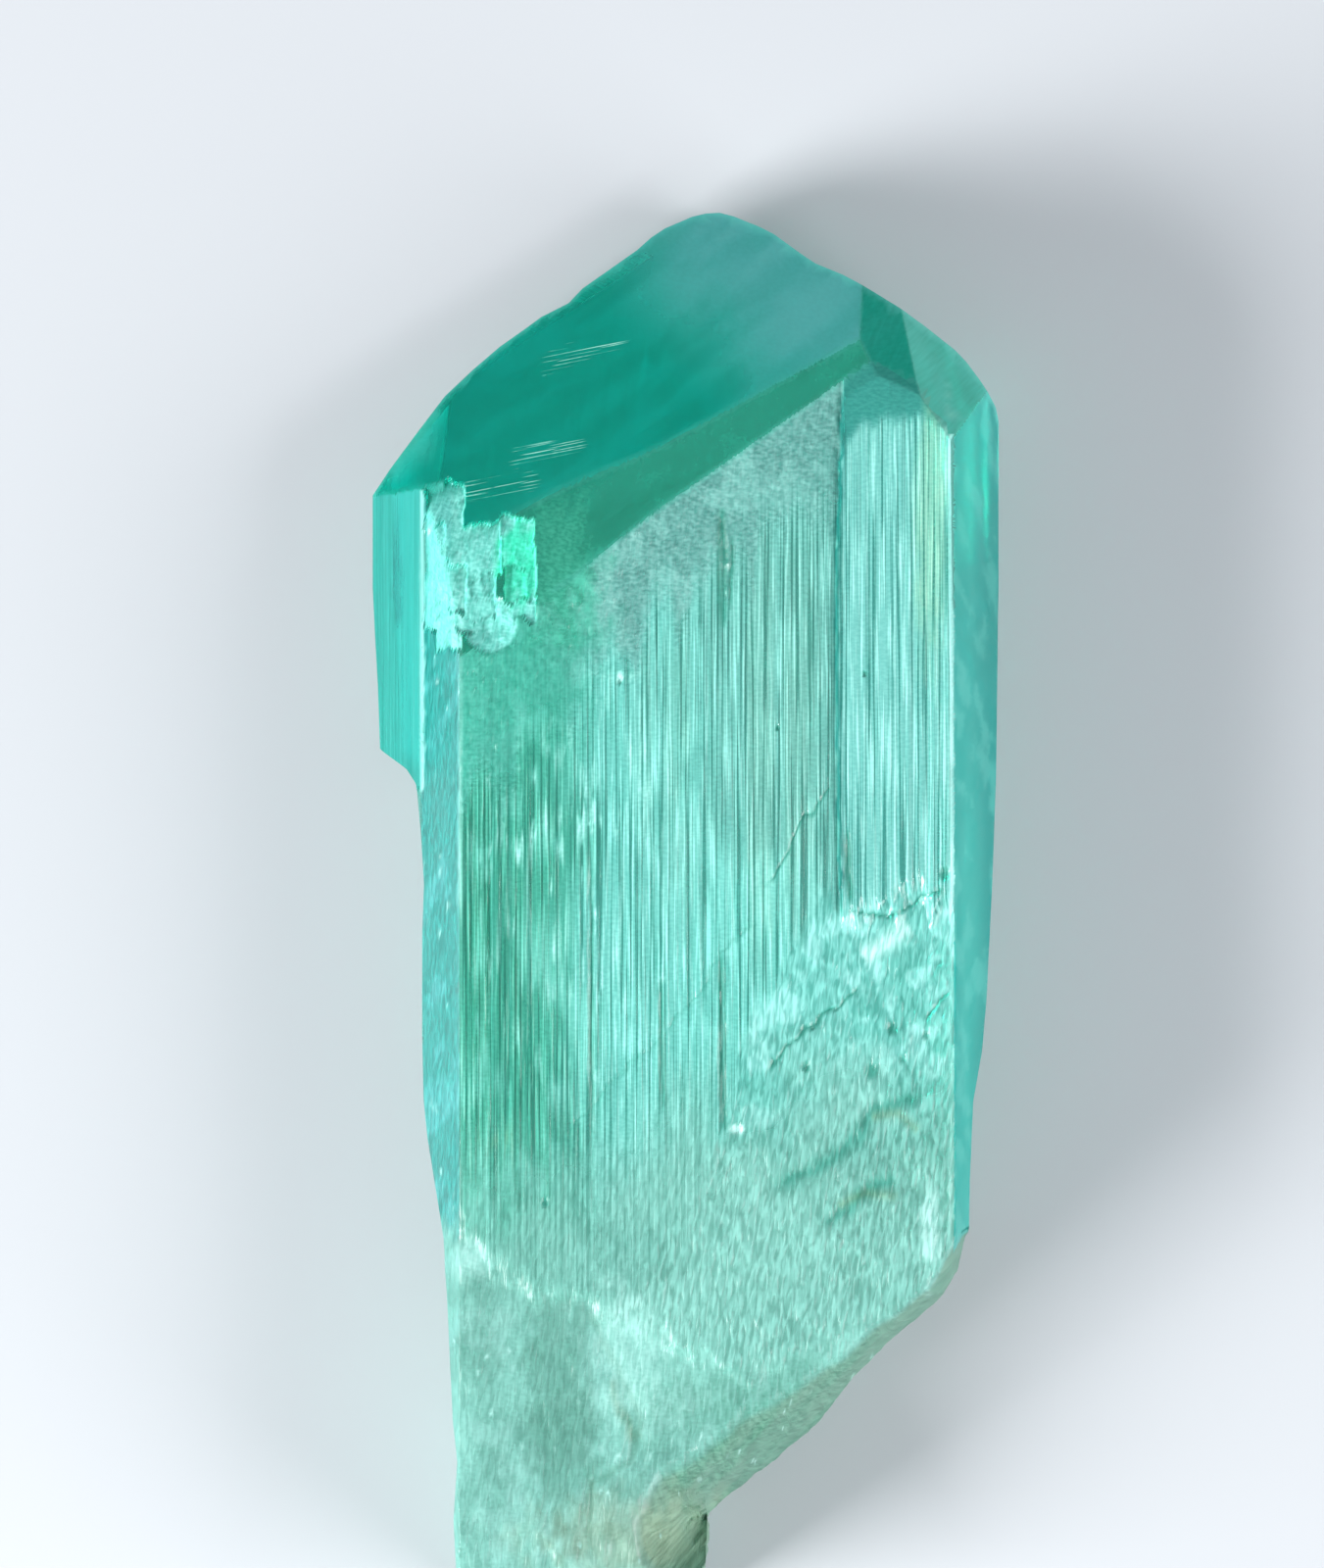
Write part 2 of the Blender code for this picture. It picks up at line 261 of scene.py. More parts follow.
LONG_GROOVES = (
    ((1.55, 17.4), (1.6, 12.6), 0.16, 0.14), ((1.95, 16.2), (1.9, 13.3), 0.1, 0.08),
    ((1.5, -1.6), (1.62, -8.8), 0.13, 0.16), ((-1.05, -2.6), (-1, -8), 0.12, 0.12),
    ((-8.25, 10.5), (-8.2, -10.5), 0.16, 0.05), ((-7.5, 9), (-7.45, -8), 0.14, 0.05),
    ((6.9, 3.8), (6.95, 0.8), 0.12, 0.12), ((-4.05, 4), (-4, -9.5), 0.1, 0.07),
)
PITS = (
    (10.2, -4.9, 0.2, 0.06), (9.2, -5.9, 0.2, 0.06), (7.9, -6.4, 0.4, 0.06), (11, 2, 0.28, 0.12),
    (-2.8, 10.2, 0.16, 0.12), (7.6, 10.5, 0.14, 0.1), (2.2, -8.9, 0.22, 0.12), (8.8, -4.6, 0.3, 0.07),
    (5.1, -6.2, 0.24, 0.1), (-6, -12, 0.2, 0.1), (3.9, 8.2, 0.12, 0.1),
)


def marks(x, y):
    """Depth of the growth lines, the long grooves and the pits, each a smooth notch."""
    depth = np.zeros(np.shape(x))
    for number, (points, width, deep) in enumerate(GROWTH_LINES):
        wander = 0.12 * field(x, y, 0.5, 0.5, 50 + number)
        distance, place = along_line(points, x + wander, y - wander)
        fade = ease(place, 0, 0.08) * ease(1 - place, 0, 0.15)
        depth = np.maximum(depth, deep * fade * np.exp(-(distance / width) ** 2))
    for (x0, y0), (x1, y1), width, deep in LONG_GROOVES:
        distance, place = along_line(((x0, y0), (x1, y1)), x + 0.05 * field(x, y, 0.6, 1.2, 60), y)
        swell = np.sin(np.pi * np.clip(place, 0.02, 0.98)) ** 0.4
        depth = np.maximum(depth, deep * swell * np.exp(-(distance / width) ** 2))
    for x0, y0, radius, deep in PITS:
        distance = np.hypot(x - x0, (y - y0) / 1.4)
        depth = np.maximum(depth, deep * ease(-distance, -radius, -0.3 * radius))
    return depth


print(len(GROWTH_LINES), "growth lines,", len(LONG_GROOVES), "long grooves,", len(PITS), "pits")

# %% [markdown]
# One corner was knocked off. This mineral splits along flat, upright planes, so the chip is a
# set of ragged blocks, each sunk to its own depth, and one shell-shaped scoop.

# %% The knocked off corner
CHIP_BLOCKS = (
    ((-11.25, -9.5), (16.8, 18.8), 0.28), ((-11.5, -10.3), (14.6, 16.9), 0.45),
    ((-10.4, -9.2), (15.3, 16.9), 0.3), ((-10.6, -9.3), (13.1, 15.4), 0.52),
    ((-11.4, -8.6), (12.3, 14.8), 0.32), ((-9.4, -7.9), (14.6, 17.1), 0.42),
    ((-10.7, -9.5), (11.4, 12.6), 0.2), ((-9.3, -8.1), (12.8, 14.8), 0.46),
    ((-7.95, -6.45), (15, 17.4), 0.34), ((-7.8, -6.4), (13.6, 15.2), 0.26),
    ((-7.5, -6.3), (12.8, 13.8), 0.16),
)
CHIP_SCOOP = (-8.35, 12.6, 1.25, 0.38)


def chipped(x, y):
    """Depth of the chip below the faces: the deepest of the blocks and the scoop, with splinters."""
    ragged_x = x + 0.11 * fractal(x, y, 0.6, 1.2, 71)
    ragged_y = y + 0.24 * fractal(x, y, 0.5, 0.9, 75)
    depth = np.zeros(np.shape(x))
    for (x0, x1), (y0, y1), deep in CHIP_BLOCKS:
        inside = np.min([ragged_x - x0, x1 - ragged_x, ragged_y - y0, y1 - ragged_y], axis=0)
        tilted = deep * (0.7 + 0.3 * (ragged_x - x0) / (x1 - x0))
        depth = np.maximum(depth, np.clip(5 * inside, 0, tilted))
    x0, y0, radius, deep = CHIP_SCOOP
    bowl = np.hypot(x - x0, y - y0) / radius
    depth = np.maximum(depth, deep * (1 - bowl ** 2) + 0.02 * np.sin(9 * bowl) * (bowl < 1))
    return depth + ease(depth, 0, 0.1) * 0.07 * np.abs(fractal(x, y, 0.5, 1.2, 79))


print(len(CHIP_BLOCKS), "blocks, sunk by up to", max(block[-1] for block in CHIP_BLOCKS), "mm")

# %% [markdown]
# Each finish has a mask from 0 to 1 in plan with a ragged edge, so that one runs into the
# next, as on the stone. The relief uses these masks now, and the colours use them later.

# %% Where each finish lies
def in_etched(x, y):
    """1 in the etched part, with a ragged upper edge."""
    return ease(below(ETCHED_LINE, x, y) + 0.9 * fractal(x, y, 0.5, 2.6, 83), -0.4, 1.4)


def in_worn(x, y):
    """1 in the worn foot."""
    return ease(below(WORN_LINE, x, y) + 0.45 * fractal(x, y, 0.9, 1.1, 87), -0.3, 1.1)


def in_dome(x, y):
    """1 in the smooth dome at the pillar's upper end, above an arc."""
    return ease(y + 0.17 * (x - 9.2) ** 2 - 0.3 * field(x, y, 0.5, 9, 91), 21.1, 21.9) * (x > step_x(y))


def in_frosted(x, y):
    """1 in the frosted part below the bevel. Each ridge runs up into it by its own length."""
    reach = 1.4 * field(x, y, 0.35, 60, 92) + 0.9 * fractal(x, y, 1.2, 2, 93)
    return ease(reach + y - 13 - 0.75 * x, -1.6, 2.2) * (x < step_x(y))


print("worn at the foot:", in_worn(0, -25), "and at the tip:", in_worn(0, 25))

# %% [markdown]
# Now the front comes together. Where two flat faces meet, the lower one wins, and the edge
# between them is rounded a little, because real edges are worn.

# %% The whole front surface
LEDGE_FOOT = 5.6
EDGE_WEAR = 0.05


def lowest(heights, soft):
    """Lowest of several heights, rounded off by up to soft / 4 where the lowest two meet."""
    first, second = np.sort(np.stack(heights), axis=0)[:2]
    near = np.clip(soft - (second - first), 0, None)
    return first - near ** 2 / (4 * soft)


def front_faces(x, y):
    """Heights of the front's slanted faces. The bevel sinks a little towards the left."""
    heights = {name: height_on(name, x, y) for name in ("bevel", "roof", "cap", "shoulder")}
    heights["bevel"] = heights["bevel"] - 0.14 * ease(-x, 1, 6)
    return heights


def front_height(x, y):
    """Height of the front: the lowest of its marked faces, less the worn foot, its break and the chip."""
    pillar = ease(x - step_x(y) - 0.04 * field(x, y, 0.5, 3, 81), -STEP_WIDTH / 2, STEP_WIDTH / 2)
    is_etched, is_worn, is_frosted = in_etched(x, y), in_worn(x, y), in_frosted(x, y)
    lower = ease(below(LOWER_LINE, x, y) + 0.3 * fractal(x, y, 1, 1, 89), -0.3, 1.5)
    smooth_left = ease(-np.hypot((x + 6.4) / 2.1, (y - 10.6) / 2.6), -1.5, -0.5)
    ridged = (1 - 0.92 * is_frosted) * (1 - 0.85 * smooth_left) * (1 - 0.8 * in_dome(x, y))
    ridged = ridged * (1 - 0.8 * is_etched) * (1 - is_worn) * (1 - 0.7 * ease(-y, 5, 13))
    depth = ridged * ridges(x, y) * (RIDGE_DEPTH + (PILLAR_DEPTH - RIDGE_DEPTH) * pillar)
    depth = depth + 0.03 * is_frosted * (1 + fractal(x, y, 0.22, 0.22, 94))
    depth = depth + is_etched * (1 - is_worn) * etched(x, y) + (1 - is_worn) * marks(x, y)
    face = FACE_LEVEL + (THICK - FACE_LEVEL) * pillar * (1 - is_etched) * (1 - is_worn) - depth
    flat = 0.012 * fractal(x, y, 1.6, 1.6, 97)
    slants = [height + flat for height in front_faces(x, y).values()]
    side = 0.09 * field(x, y, 0.5, 3.5, 98) + 0.05 * fractal(x, y, 0.6, 0.9, 99)
    flanks = [height_on(name, x, y) + side for name in ("left flank", "right flank")]
    surface = lowest([face, *slants, *flanks], EDGE_WEAR + 0.35 * ease(-x, 2, 5) * ease(y, 11, 13))
    surface = surface - is_worn * worn(x, y) - 0.25 * lower - chipped(x, y)
    falls = [band_fall(band, x, y) for band in BREAK_BANDS]
    slanting = fractal(x + 1.07 * y, x - 0.93 * y, 4, 0.8, 95)
    along_break = 0.06 * fractal(x, y, 1.4, 1.4, 96) + 0.06 * slanting
    fall = np.max(falls, axis=0)
    surface = surface - fall * (1 + along_break)
    surface = surface - 0.04 * ease(fall, 0, 0.5) * fractal(x, y, 0.6, 0.6, 62)
    ledge = height_on("ledge top", x, y) - 0.03 * ridges(1.5 * x, y)
    ledge = lowest([ledge, height_on("roof", x, y)], 2 * EDGE_WEAR)
    on_ledge = (x < KEEL_LEFT_X + 1) & (y > LEDGE_FOOT)
    return np.where(on_ledge, np.maximum(surface, ledge), surface)


middle = np.zeros(1)
print("front", front_height(middle, middle)[0].round(2), "mm high in its middle")

# %% [markdown]
# The front is laid out on a grid. Its columns run straight along the blade, so the ridges are
# cut evenly, and lean only where they must reach the outline. The left and right outlines give
# the place along the blade first, and the others give it second.

# %% The outline of the front
LEFT_OUTLINE = (
    (-29.2, -9.75), (-28.2, -9.79), (-25.6, -9.92), (-23.1, -9.75), (-21.4, -9.96), (-18.8, -10.09),
    (-15.4, -10.26), (-13.7, -10.38), (-12, -10.68), (-9.5, -11.13), (-7.8, -11.32), (-4.8, -11.39),
    (-0.6, -11.38), (1.5, -11.3), (3.7, -11.45), (5.8, -11.66), (6.45, -12.08), (7.3, -13.24),
    (10, -13.33), (12.6, -13.48), (14.3, -13.56), (18.3, -13.56),
)
RIGHT_OUTLINE = (
    (-14, 12.12), (-11.2, 12.16), (-7.8, 12.33), (-5.7, 12.75), (-3.5, 12.97), (1.6, 13.26),
    (5.8, 13.43), (14.3, 13.56), (21.5, 13.56),
)
BOTTOM_OUTLINE = (
    (-9.75, -29.2), (-8.9, -30.4), (-6.6, -30.7), (-4.4, -30.2), (-1.6, -30.65), (0.5, -30.1),
    (0.8, -28.6), (0.87, -27.4), (0.95, -26), (1.7, -25.2), (3.4, -23.9), (4.9, -22.6), (6.1, -21.4),
    (7.2, -19.7), (8.5, -18.4), (10.97, -16.5), (11.75, -15.3), (12.12, -14),
)
TOP_OUTLINE = (
    (-13.56, 18.3), (-12.8, 19.5), (-11.66, 21.1), (-10.49, 22.7), (-9.3, 23.85), (-8.1, 24.9),
    (-6.9, 25.75), (-6.3, 26.2), (-5.1, 26.8), (-4.5, 27.45), (-3.3, 28.3), (-2.1, 29.15),
    (-1.5, 29.7), (-0.9, 30.1), (0.3, 30.6), (0.9, 30.73), (1.5, 30.74), (2.1, 30.55), (3.26, 30),
    (3.85, 29.65), (5, 28.7), (5.6, 28.25), (6.75, 27.7), (7.9, 27), (9.1, 26.25), (10.3, 25.45),
    (11.6, 24.5), (12.1, 24), (12.7, 23.2), (13.1, 22.6), (13.42, 22.1), (13.56, 21.5),
)
BACK_LEFT = -9.59
BACK_RIGHT = 11.11
BACK_TOP = (
    (-13.56, -9.59, 21.6), (-9.3, -9.1, 22.35), (-8.9, -8.68, 22.8), (1.2, 2.3, 30.2),
    (1.6, 2.36, 30.2), (11.6, 11.08, 24.41), (13.56, 11.11, 24.37),
)
LEANING_SHARE = 0.3


def follow(points, count):
    """Points evenly spaced by length along a bent line."""
    points = np.array(points, float)
    lengths = np.concatenate([[0], np.cumsum(np.hypot(*np.diff(points, axis=0).T))])
    stations = np.linspace(0, lengths[-1], count)
    return np.stack([np.interp(stations, lengths, points[:, axis]) for axis in (0, 1)], axis=-1)


def fill(left, bottom, right, top, left_fade, right_fade):
    """Plan grid inside four edges: columns that lean at first and then run straight to the top.
    The wandering of the left and the right edge fades out over the nearest columns."""
    share = np.linspace(0, 1, len(left))[:, None]
    settled = 1 - np.clip(1 - share / LEANING_SHARE, 0, 1) ** 2
    x = bottom[:, 0] + (top[:, 0] - bottom[:, 0]) * settled
    y = bottom[:, 1] + (top[:, 1] - bottom[:, 1]) * share
    grid = np.stack([x, y], axis=-1)
    to_left = left[:, None] - grid[:, :1]
    to_right = right[:, None] - grid[:, -1:]
    return grid + to_left * left_fade[:, None] + to_right * right_fade[:, None]


print("outline", TOP_OUTLINE[-1][0] - TOP_OUTLINE[0][0], "mm wide")

# %% [markdown]
# The ridges are a tenth of a millimetre wide, so most columns are on the broad face. No cell
# may fold over its neighbour: the smallest area, printed below, has to be above zero.

# %% The front grid
SIDE_COLUMNS = 48
FACE_COLUMNS = 332
FLANK_COLUMNS = 36
ROWS = 421
column_x = np.concatenate([
    np.linspace(TOP_OUTLINE[0][0], FACE_LEFT, SIDE_COLUMNS, endpoint=False),
    np.linspace(FACE_LEFT, PILLAR_RIGHT, FACE_COLUMNS, endpoint=False),
    np.linspace(PILLAR_RIGHT, TOP_OUTLINE[-1][0], FLANK_COLUMNS + 1),
])
COLUMNS = len(column_x)
left_fade = np.clip(1 - np.arange(COLUMNS) / SIDE_COLUMNS, 0, 1)
right_fade = np.clip(1 - np.arange(COLUMNS)[::-1] / FLANK_COLUMNS, 0, 1)


def edge_up(outline):
    """Left or right edge: even steps along the blade, and the outline's x at each."""
    outline = np.array(outline)
    y = np.linspace(outline[0, 0], outline[-1, 0], ROWS)
    return np.stack([np.interp(y, outline[:, 0], outline[:, 1]), y], axis=-1)


left_edge = edge_up(LEFT_OUTLINE)
right_edge = edge_up(RIGHT_OUTLINE)
bottom_edge = follow(BOTTOM_OUTLINE, COLUMNS)
bottom_edge[:, 1] += 0.11 * fractal(*bottom_edge.T, 1, 1, 61, layers=4)
top_edge = np.stack([column_x, np.interp(column_x, *np.array(TOP_OUTLINE).T)], axis=-1)
plan = fill(left_edge, bottom_edge, right_edge, top_edge, left_fade, right_fade)
front = np.concatenate([plan, front_height(plan[..., 0], plan[..., 1])[..., None]], axis=-1)
along_u, along_v = np.gradient(plan, axis=1), np.gradient(plan, axis=0)
cell_area = along_u[..., 0] * along_v[..., 1] - along_u[..., 1] * along_v[..., 0]
print("front grid", front.shape[:2], "smallest cell", cell_area.min().round(5), "mm2")

# %% [markdown]
# The sides drop from the front's rim to the back's in up to four straight runs: a steep wall
# at the break, the outer side and the underside of the narrow ledge, and the sloping back
# face. Where a run is not needed, its points fall together.

# %% The bends of the sides
LEDGE_UNDER = 0.9
LEDGE_SLOPE = math.tan(math.radians(18))
BACK_LEFT_SLOPE = (BACK_LEFT - KEEL_LEFT_X) / KEEL_LEFT
BACK_RIGHT_SLOPE = (HALF_W - BACK_RIGHT) / KEEL_RIGHT


def rim_of(grid):
    """The four edges of a grid joined into one loop, clockwise as seen from the front."""
    return np.concatenate([grid[:, 0], grid[-1, 1:], grid[-2::-1, -1], grid[0, -2:0:-1]])


def back_plan(rim):
    """Plan of the back's rim for each point of the front's rim."""
    x, y = rim[:, 0], rim[:, 1]
    back_x = np.clip(x, BACK_LEFT, BACK_RIGHT)
    left_end, right_end = TOP_OUTLINE[0][1], TOP_OUTLINE[-1][1]
    back_y = y + (BACK_TOP[0][2] - left_end) * ease(y, 8, left_end) * (x < 0)
    back_y = back_y + (BACK_TOP[-1][2] - right_end) * ease(y, 11, right_end) * (x > 0)
    top = slice(ROWS - 1, ROWS + COLUMNS - 1)
    ridge_x, top_x, top_y = np.array(BACK_TOP).T
    back_x[top] = np.interp(x[top], ridge_x, top_x)
    back_y[top] = np.interp(x[top], ridge_x, top_y)
    return np.stack([back_x, back_y], axis=-1)


def side_bends(rim):
    """Loops of points: the front's rim, the three bends below it and the back's rim."""
    x, y, z = rim.T
    back = np.concatenate([back_plan(rim), np.zeros((len(rim), 1))], axis=-1)
    on_back_face = np.maximum(KEEL_LEFT - (x - KEEL_LEFT_X) / BACK_LEFT_SLOPE,
                              (x - BACK_RIGHT) / BACK_RIGHT_SLOPE)
    ledge = x < KEEL_LEFT_X - 0.02
    wall_z = np.where(ledge, z, np.clip(on_back_face, 0, z))
    wall = np.stack([x, y, wall_z], axis=-1)
    low_z = np.minimum(wall_z, LEDGE_UNDER)
    inner_x = BACK_LEFT - BACK_LEFT_SLOPE * low_z
    share = (low_z / np.maximum(wall_z, 1e-6))[:, None]
    straight = back + (wall - back) * share
    under_ledge = np.stack([np.minimum(inner_x, x + 5), back[:, 1], low_z], axis=-1)
    inner = np.where((x < 0)[:, None], under_ledge, straight)
    inner[:, 0] = np.where((x < 0) & (x > BACK_LEFT), x, inner[:, 0])
    outer = np.stack([x + LEDGE_SLOPE * (z - LEDGE_UNDER), y, low_z], axis=-1)
    outer = np.where(ledge[:, None] & (outer[:, :1] < inner[:, :1]), outer, inner)
    top = slice(ROWS, ROWS + COLUMNS - 1)
    wall[top] = rim[top]
    inner[top] = back[top] + (rim[top] - back[top]) * (LEDGE_UNDER / rim[top, 2:])
    outer[top] = inner[top]
    return [rim, wall, outer, inner, back]


print("flat back", round(BACK_RIGHT - BACK_LEFT, 2), "mm wide")

# %% [markdown]
# Rings of points join the bends. The broken foot has rough walls, so there the rings move out
# and in by a random relief, which fades at the rims, where other surfaces begin.

# %% The side surface
RINGS = (5, 7, 4, 2)


def side_surface(bends):
    """Straight runs of rings from each bend to the next."""
    rings = [bends[0]]
    for upper, lower, count in zip(bends, bends[1:], RINGS):
        rings += [upper + (lower - upper) * step / count for step in range(1, count + 1)]
    return np.array(rings)


def outward_of(loop):
    """Unit directions in plan that point out of a clockwise loop, square to it."""
    ahead = np.roll(loop, -1, axis=0) - np.roll(loop, 1, axis=0)
    return np.stack([-ahead[:, 1], ahead[:, 0]], axis=-1) / np.hypot(*ahead.T)[:, None]


def roughened(sides):
    """The side rings, moved out and in by a broken relief: none at the rims, most on the break."""
    x, y, z = sides[..., 0], sides[..., 1], sides[..., 2]
    steps = np.hypot(*(np.roll(sides[0, :, :2], -1, axis=0) - sides[0, :, :2]).T)
    place = (np.cumsum(steps) - steps)[None]
    on_break = ease(np.arange(len(steps)) - 2 * ROWS - COLUMNS, -12, 8)
    on_foot = 0.5 * ease(-y[0], 10, 13) * (x[0] < 0)
    free = ease(z, 0, 0.8) * ease(z[0] - z, 0, 0.8)
    rough = fractal(place, z + 0.4 * place, 2.6, 1.2, 101, layers=4)
    relief = 0.15 * np.maximum(on_break, on_foot) * rough + 0.03 * field(place, z, 1.8, 1.8, 107)
    moved = sides.copy()
    moved[..., :2] += (relief * free)[..., None] * outward_of(sides[0, :, :2])
    return moved


rim = rim_of(front)
sides = roughened(side_surface(side_bends(rim)))
print("side rings", sides.shape[:2], "lowest rim", rim[:, 2].min().round(2), "mm")

# %% [markdown]
# The back is flat between wide, shallow grooves, so it needs only half as many points. Its
# edge takes every second point of the rim, and a row of triangles sews the two together.

# %% The back
BACK_INSET = 0.07
BACK_DEPTH = 0.06


def back_height(x, y):
    """Depth of the back's growth grooves: sharp folded fields, very long along the blade."""
    broad = 1 - np.abs(field(x, y, 1.5, 60, 111))
    fine = 1 - np.abs(field(x, y, 0.55, 30, 112))
    return BACK_DEPTH * (0.65 * broad ** 4 + 0.35 * fine ** 3)


def back_grid(loop, rows, columns):
    """Grid inside a clockwise loop of rows and columns, set in a little, and flat along its edge."""
    edge = loop - BACK_INSET * outward_of(loop)
    first, second, third = np.cumsum([rows - 1, columns - 1, rows - 1])
    bottom = np.concatenate([edge[third:], edge[:1]])[::-1]
    left, top, right = edge[:first + 1], edge[first:second + 1], edge[second:third + 1][::-1]
    grid = fill(left, bottom, right, top, left_fade[::2], right_fade[::2])
    from_side = np.minimum(np.arange(rows), np.arange(rows)[::-1])[:, None]
    from_end = np.minimum(np.arange(columns), np.arange(columns)[::-1])[None]
    z = back_height(grid[..., 0], grid[..., 1]) * ease(np.minimum(from_side, from_end), 0, 6)
    return np.concatenate([grid, z[..., None]], axis=-1)


back = back_grid(sides[-1, ::2, :2], (ROWS + 1) // 2, (COLUMNS + 1) // 2)
print("back grid", back.shape[:2])

# %% [markdown]
# Three separate meshes would be easier, but light that passes through a clear stone needs one
# closed skin. So the surfaces share their rims, and points that fall together are welded.

# %% Sewing the surfaces together
WELD = 0.0005


def squares(a, b, c, d):
    """Two triangles for each square of four index arrays."""
    halves = [np.stack(three, axis=-1).reshape(-1, 3) for three in ((a, b, c), (a, c, d))]
    return np.concatenate(halves)


def weld(points, triangles, reach):
    """Points that fall together become one, and triangles left without an area are dropped."""
    cells = np.round(points / reach).astype(np.int64)
    _, kept, renamed = np.unique(cells, axis=0, return_index=True, return_inverse=True)
    triangles = renamed.reshape(-1)[triangles]
    a, b, c = triangles.T
    return points[kept], triangles[(a != b) & (b != c) & (c != a)]


def sewn(front, sides, back):
    """Points and triangles of the front, the rings below it and the back, sharing their rims."""
    grids = (front, sides[1:], back)
    sizes = [grid[..., 0].size for grid in grids]
    starts = np.cumsum([0] + sizes)
    f, lower, k = (start + np.arange(size).reshape(grid.shape[:2])
                   for grid, size, start in zip(grids, sizes, starts))
    r = np.concatenate([rim_of(f)[None], lower])
    n = np.roll(r, -1, axis=1)
    outer, inner = r[-1], rim_of(k)
    here, halfway, ahead = outer[::2], outer[1::2], np.roll(outer[::2], -1)
    inner_ahead = np.roll(inner, -1)
    triangles = np.concatenate([
        squares(f[:-1, :-1], f[:-1, 1:], f[1:, 1:], f[1:, :-1]),
        squares(r[:-1], n[:-1], n[1:], r[1:]),
        np.stack([here, halfway, inner], axis=-1),
        np.stack([halfway, inner_ahead, inner], axis=-1),
        np.stack([halfway, ahead, inner_ahead], axis=-1),
        squares(k[:-1, :-1], k[1:, :-1], k[1:, 1:], k[:-1, 1:]),
    ])
    return weld(np.concatenate([grid.reshape(-1, 3) for grid in grids]), triangles, WELD)


print("one square makes", len(squares(*np.arange(4)[:, None])), "triangles")

# %% [markdown]
# The fine grids have more triangles than the flat faces need. A Decimate modifier removes
# those that matter least, and leaves the steep walls alone. In a closed skin each edge has two
# triangles, so the count of open edges, printed below, has to be zero.

# %% One closed mesh
TRIANGLES = 190000
SHARP = math.radians(24)


def thin_out(crystal, count, free):
    """Collapses the edges that matter least, between free points, until the count is reached."""
    group = crystal.vertex_groups.new(name="free")
    group.add(np.flatnonzero(free).tolist(), 1, "REPLACE")
    thinner = crystal.modifiers.new("thinner", "DECIMATE")
    thinner.ratio = count / len(crystal.data.polygons)
    thinner.vertex_group = "free"
    evaluated = crystal.evaluated_get(bpy.context.evaluated_depsgraph_get())
    mesh = bpy.data.meshes.new_from_object(evaluated)
    crystal.modifiers.clear()
    crystal.data = mesh
    crystal.vertex_groups.clear()


points, triangles = sewn(front, sides, back)
points = np.clip(points, *(np.array(CAD_BOX) / MM))
on_side = points[:, 2] < front_height(points[:, 0], points[:, 1]) - 0.01
on_base = points[:, 2] < 2 * BACK_DEPTH
crystal = bpy.data.objects.new("crystal", bpy.data.meshes.new("crystal"))
crystal.data.from_pydata(points * MM, [], triangles)
crystal.data.validate()
scene.collection.objects.link(crystal)
print("sewn", len(points), "points", len(triangles), "triangles")
thin_out(crystal, TRIANGLES, on_base | ~on_side)
crystal.data.shade_smooth()
crystal.data.set_sharp_from_angle(angle=SHARP)
edges = np.zeros(len(crystal.data.loops), dtype=np.int32)
crystal.data.loops.foreach_get("edge_index", edges)
print("kept", len(crystal.data.polygons), "triangles,", int((np.bincount(edges) != 2).sum()), "open edges")

# %% [markdown]
# A real crystal is not one colour: its flat faces are deep, clear green, its ridged face is
# half frosted, and its foot is milky. Each part is a layer, laid over the last one where a mask
# says so. The masks come from the functions that shaped the stone, so colour and relief agree.

# %% Corners to paint
mesh = crystal.data
corner_point = np.zeros(len(mesh.loops), dtype=np.int32)
mesh.loops.foreach_get("vertex_index", corner_point)
flat_points = np.zeros(len(mesh.vertices) * 3, dtype=np.float32)
mesh.vertices.foreach_get("co", flat_points)
corners = (flat_points.astype(float).reshape(-1, 3) / MM)[corner_point].reshape(-1, 3, 3)
centres = corners.mean(axis=1)
x, y, z = corners[..., 0], corners[..., 1], corners[..., 2]
SHIFT_X, SHIFT_Y = 0.7, 0.5
u, v = x + SHIFT_X * (FACE_LEVEL - z), y + SHIFT_Y * (FACE_LEVEL - z)
SCREEN_COLOURS = ("glass", "dark", "light")


def colour(red, green, blue):
    """A screen colour from 0 to 255 as the linear colour that light adds up in."""
    screen = np.array((red, green, blue)) / 255
    return np.where(screen > 0.04, ((screen + 0.055) / 1.055) ** 2.4, screen / 12.92)


def patch(x0, y0, size_x, size_y, soft=0.5, ragged=0.3):
    """An uneven oval in plan, 1 in its middle, with an edge as soft and ragged as asked."""
    distance = np.hypot((x - x0) / size_x, (y - y0) / size_y) + ragged * fractal(x, y, 0.45, 0.7, 141)
    return 1 - ease(distance, 1 - soft, 1 + soft)


def line(points, width):
    """A soft line in plan along the given points."""
    distance, place = along_line(points, x + 0.1 * fractal(x, y, 0.5, 0.5, 143), y)
    return np.exp(-(distance / width) ** 2) * ease(place, 0, 0.06) * ease(1 - place, 0, 0.06)


def lay(mask, dark=None, light=None, **changes):
    """Lays new values over the old where the mask is 1, and a share of them where it is less."""
    changes.update({name: tone for name, tone in (("dark", dark), ("light", light)) if tone})
    for name, value in changes.items():
        new = colour(*value) if name in SCREEN_COLOURS else np.asarray(value)
        share = mask[..., None] if paint[name].ndim == 3 else mask
        paint[name] = paint[name] * (1 - share) + new * share


print(x.size, "corners to paint")

# %% [markdown]
# A flat face is found by asking which plane is the lowest at each triangle. That is better
# than painting by hand, because the mask then ends exactly at the edge of the face.

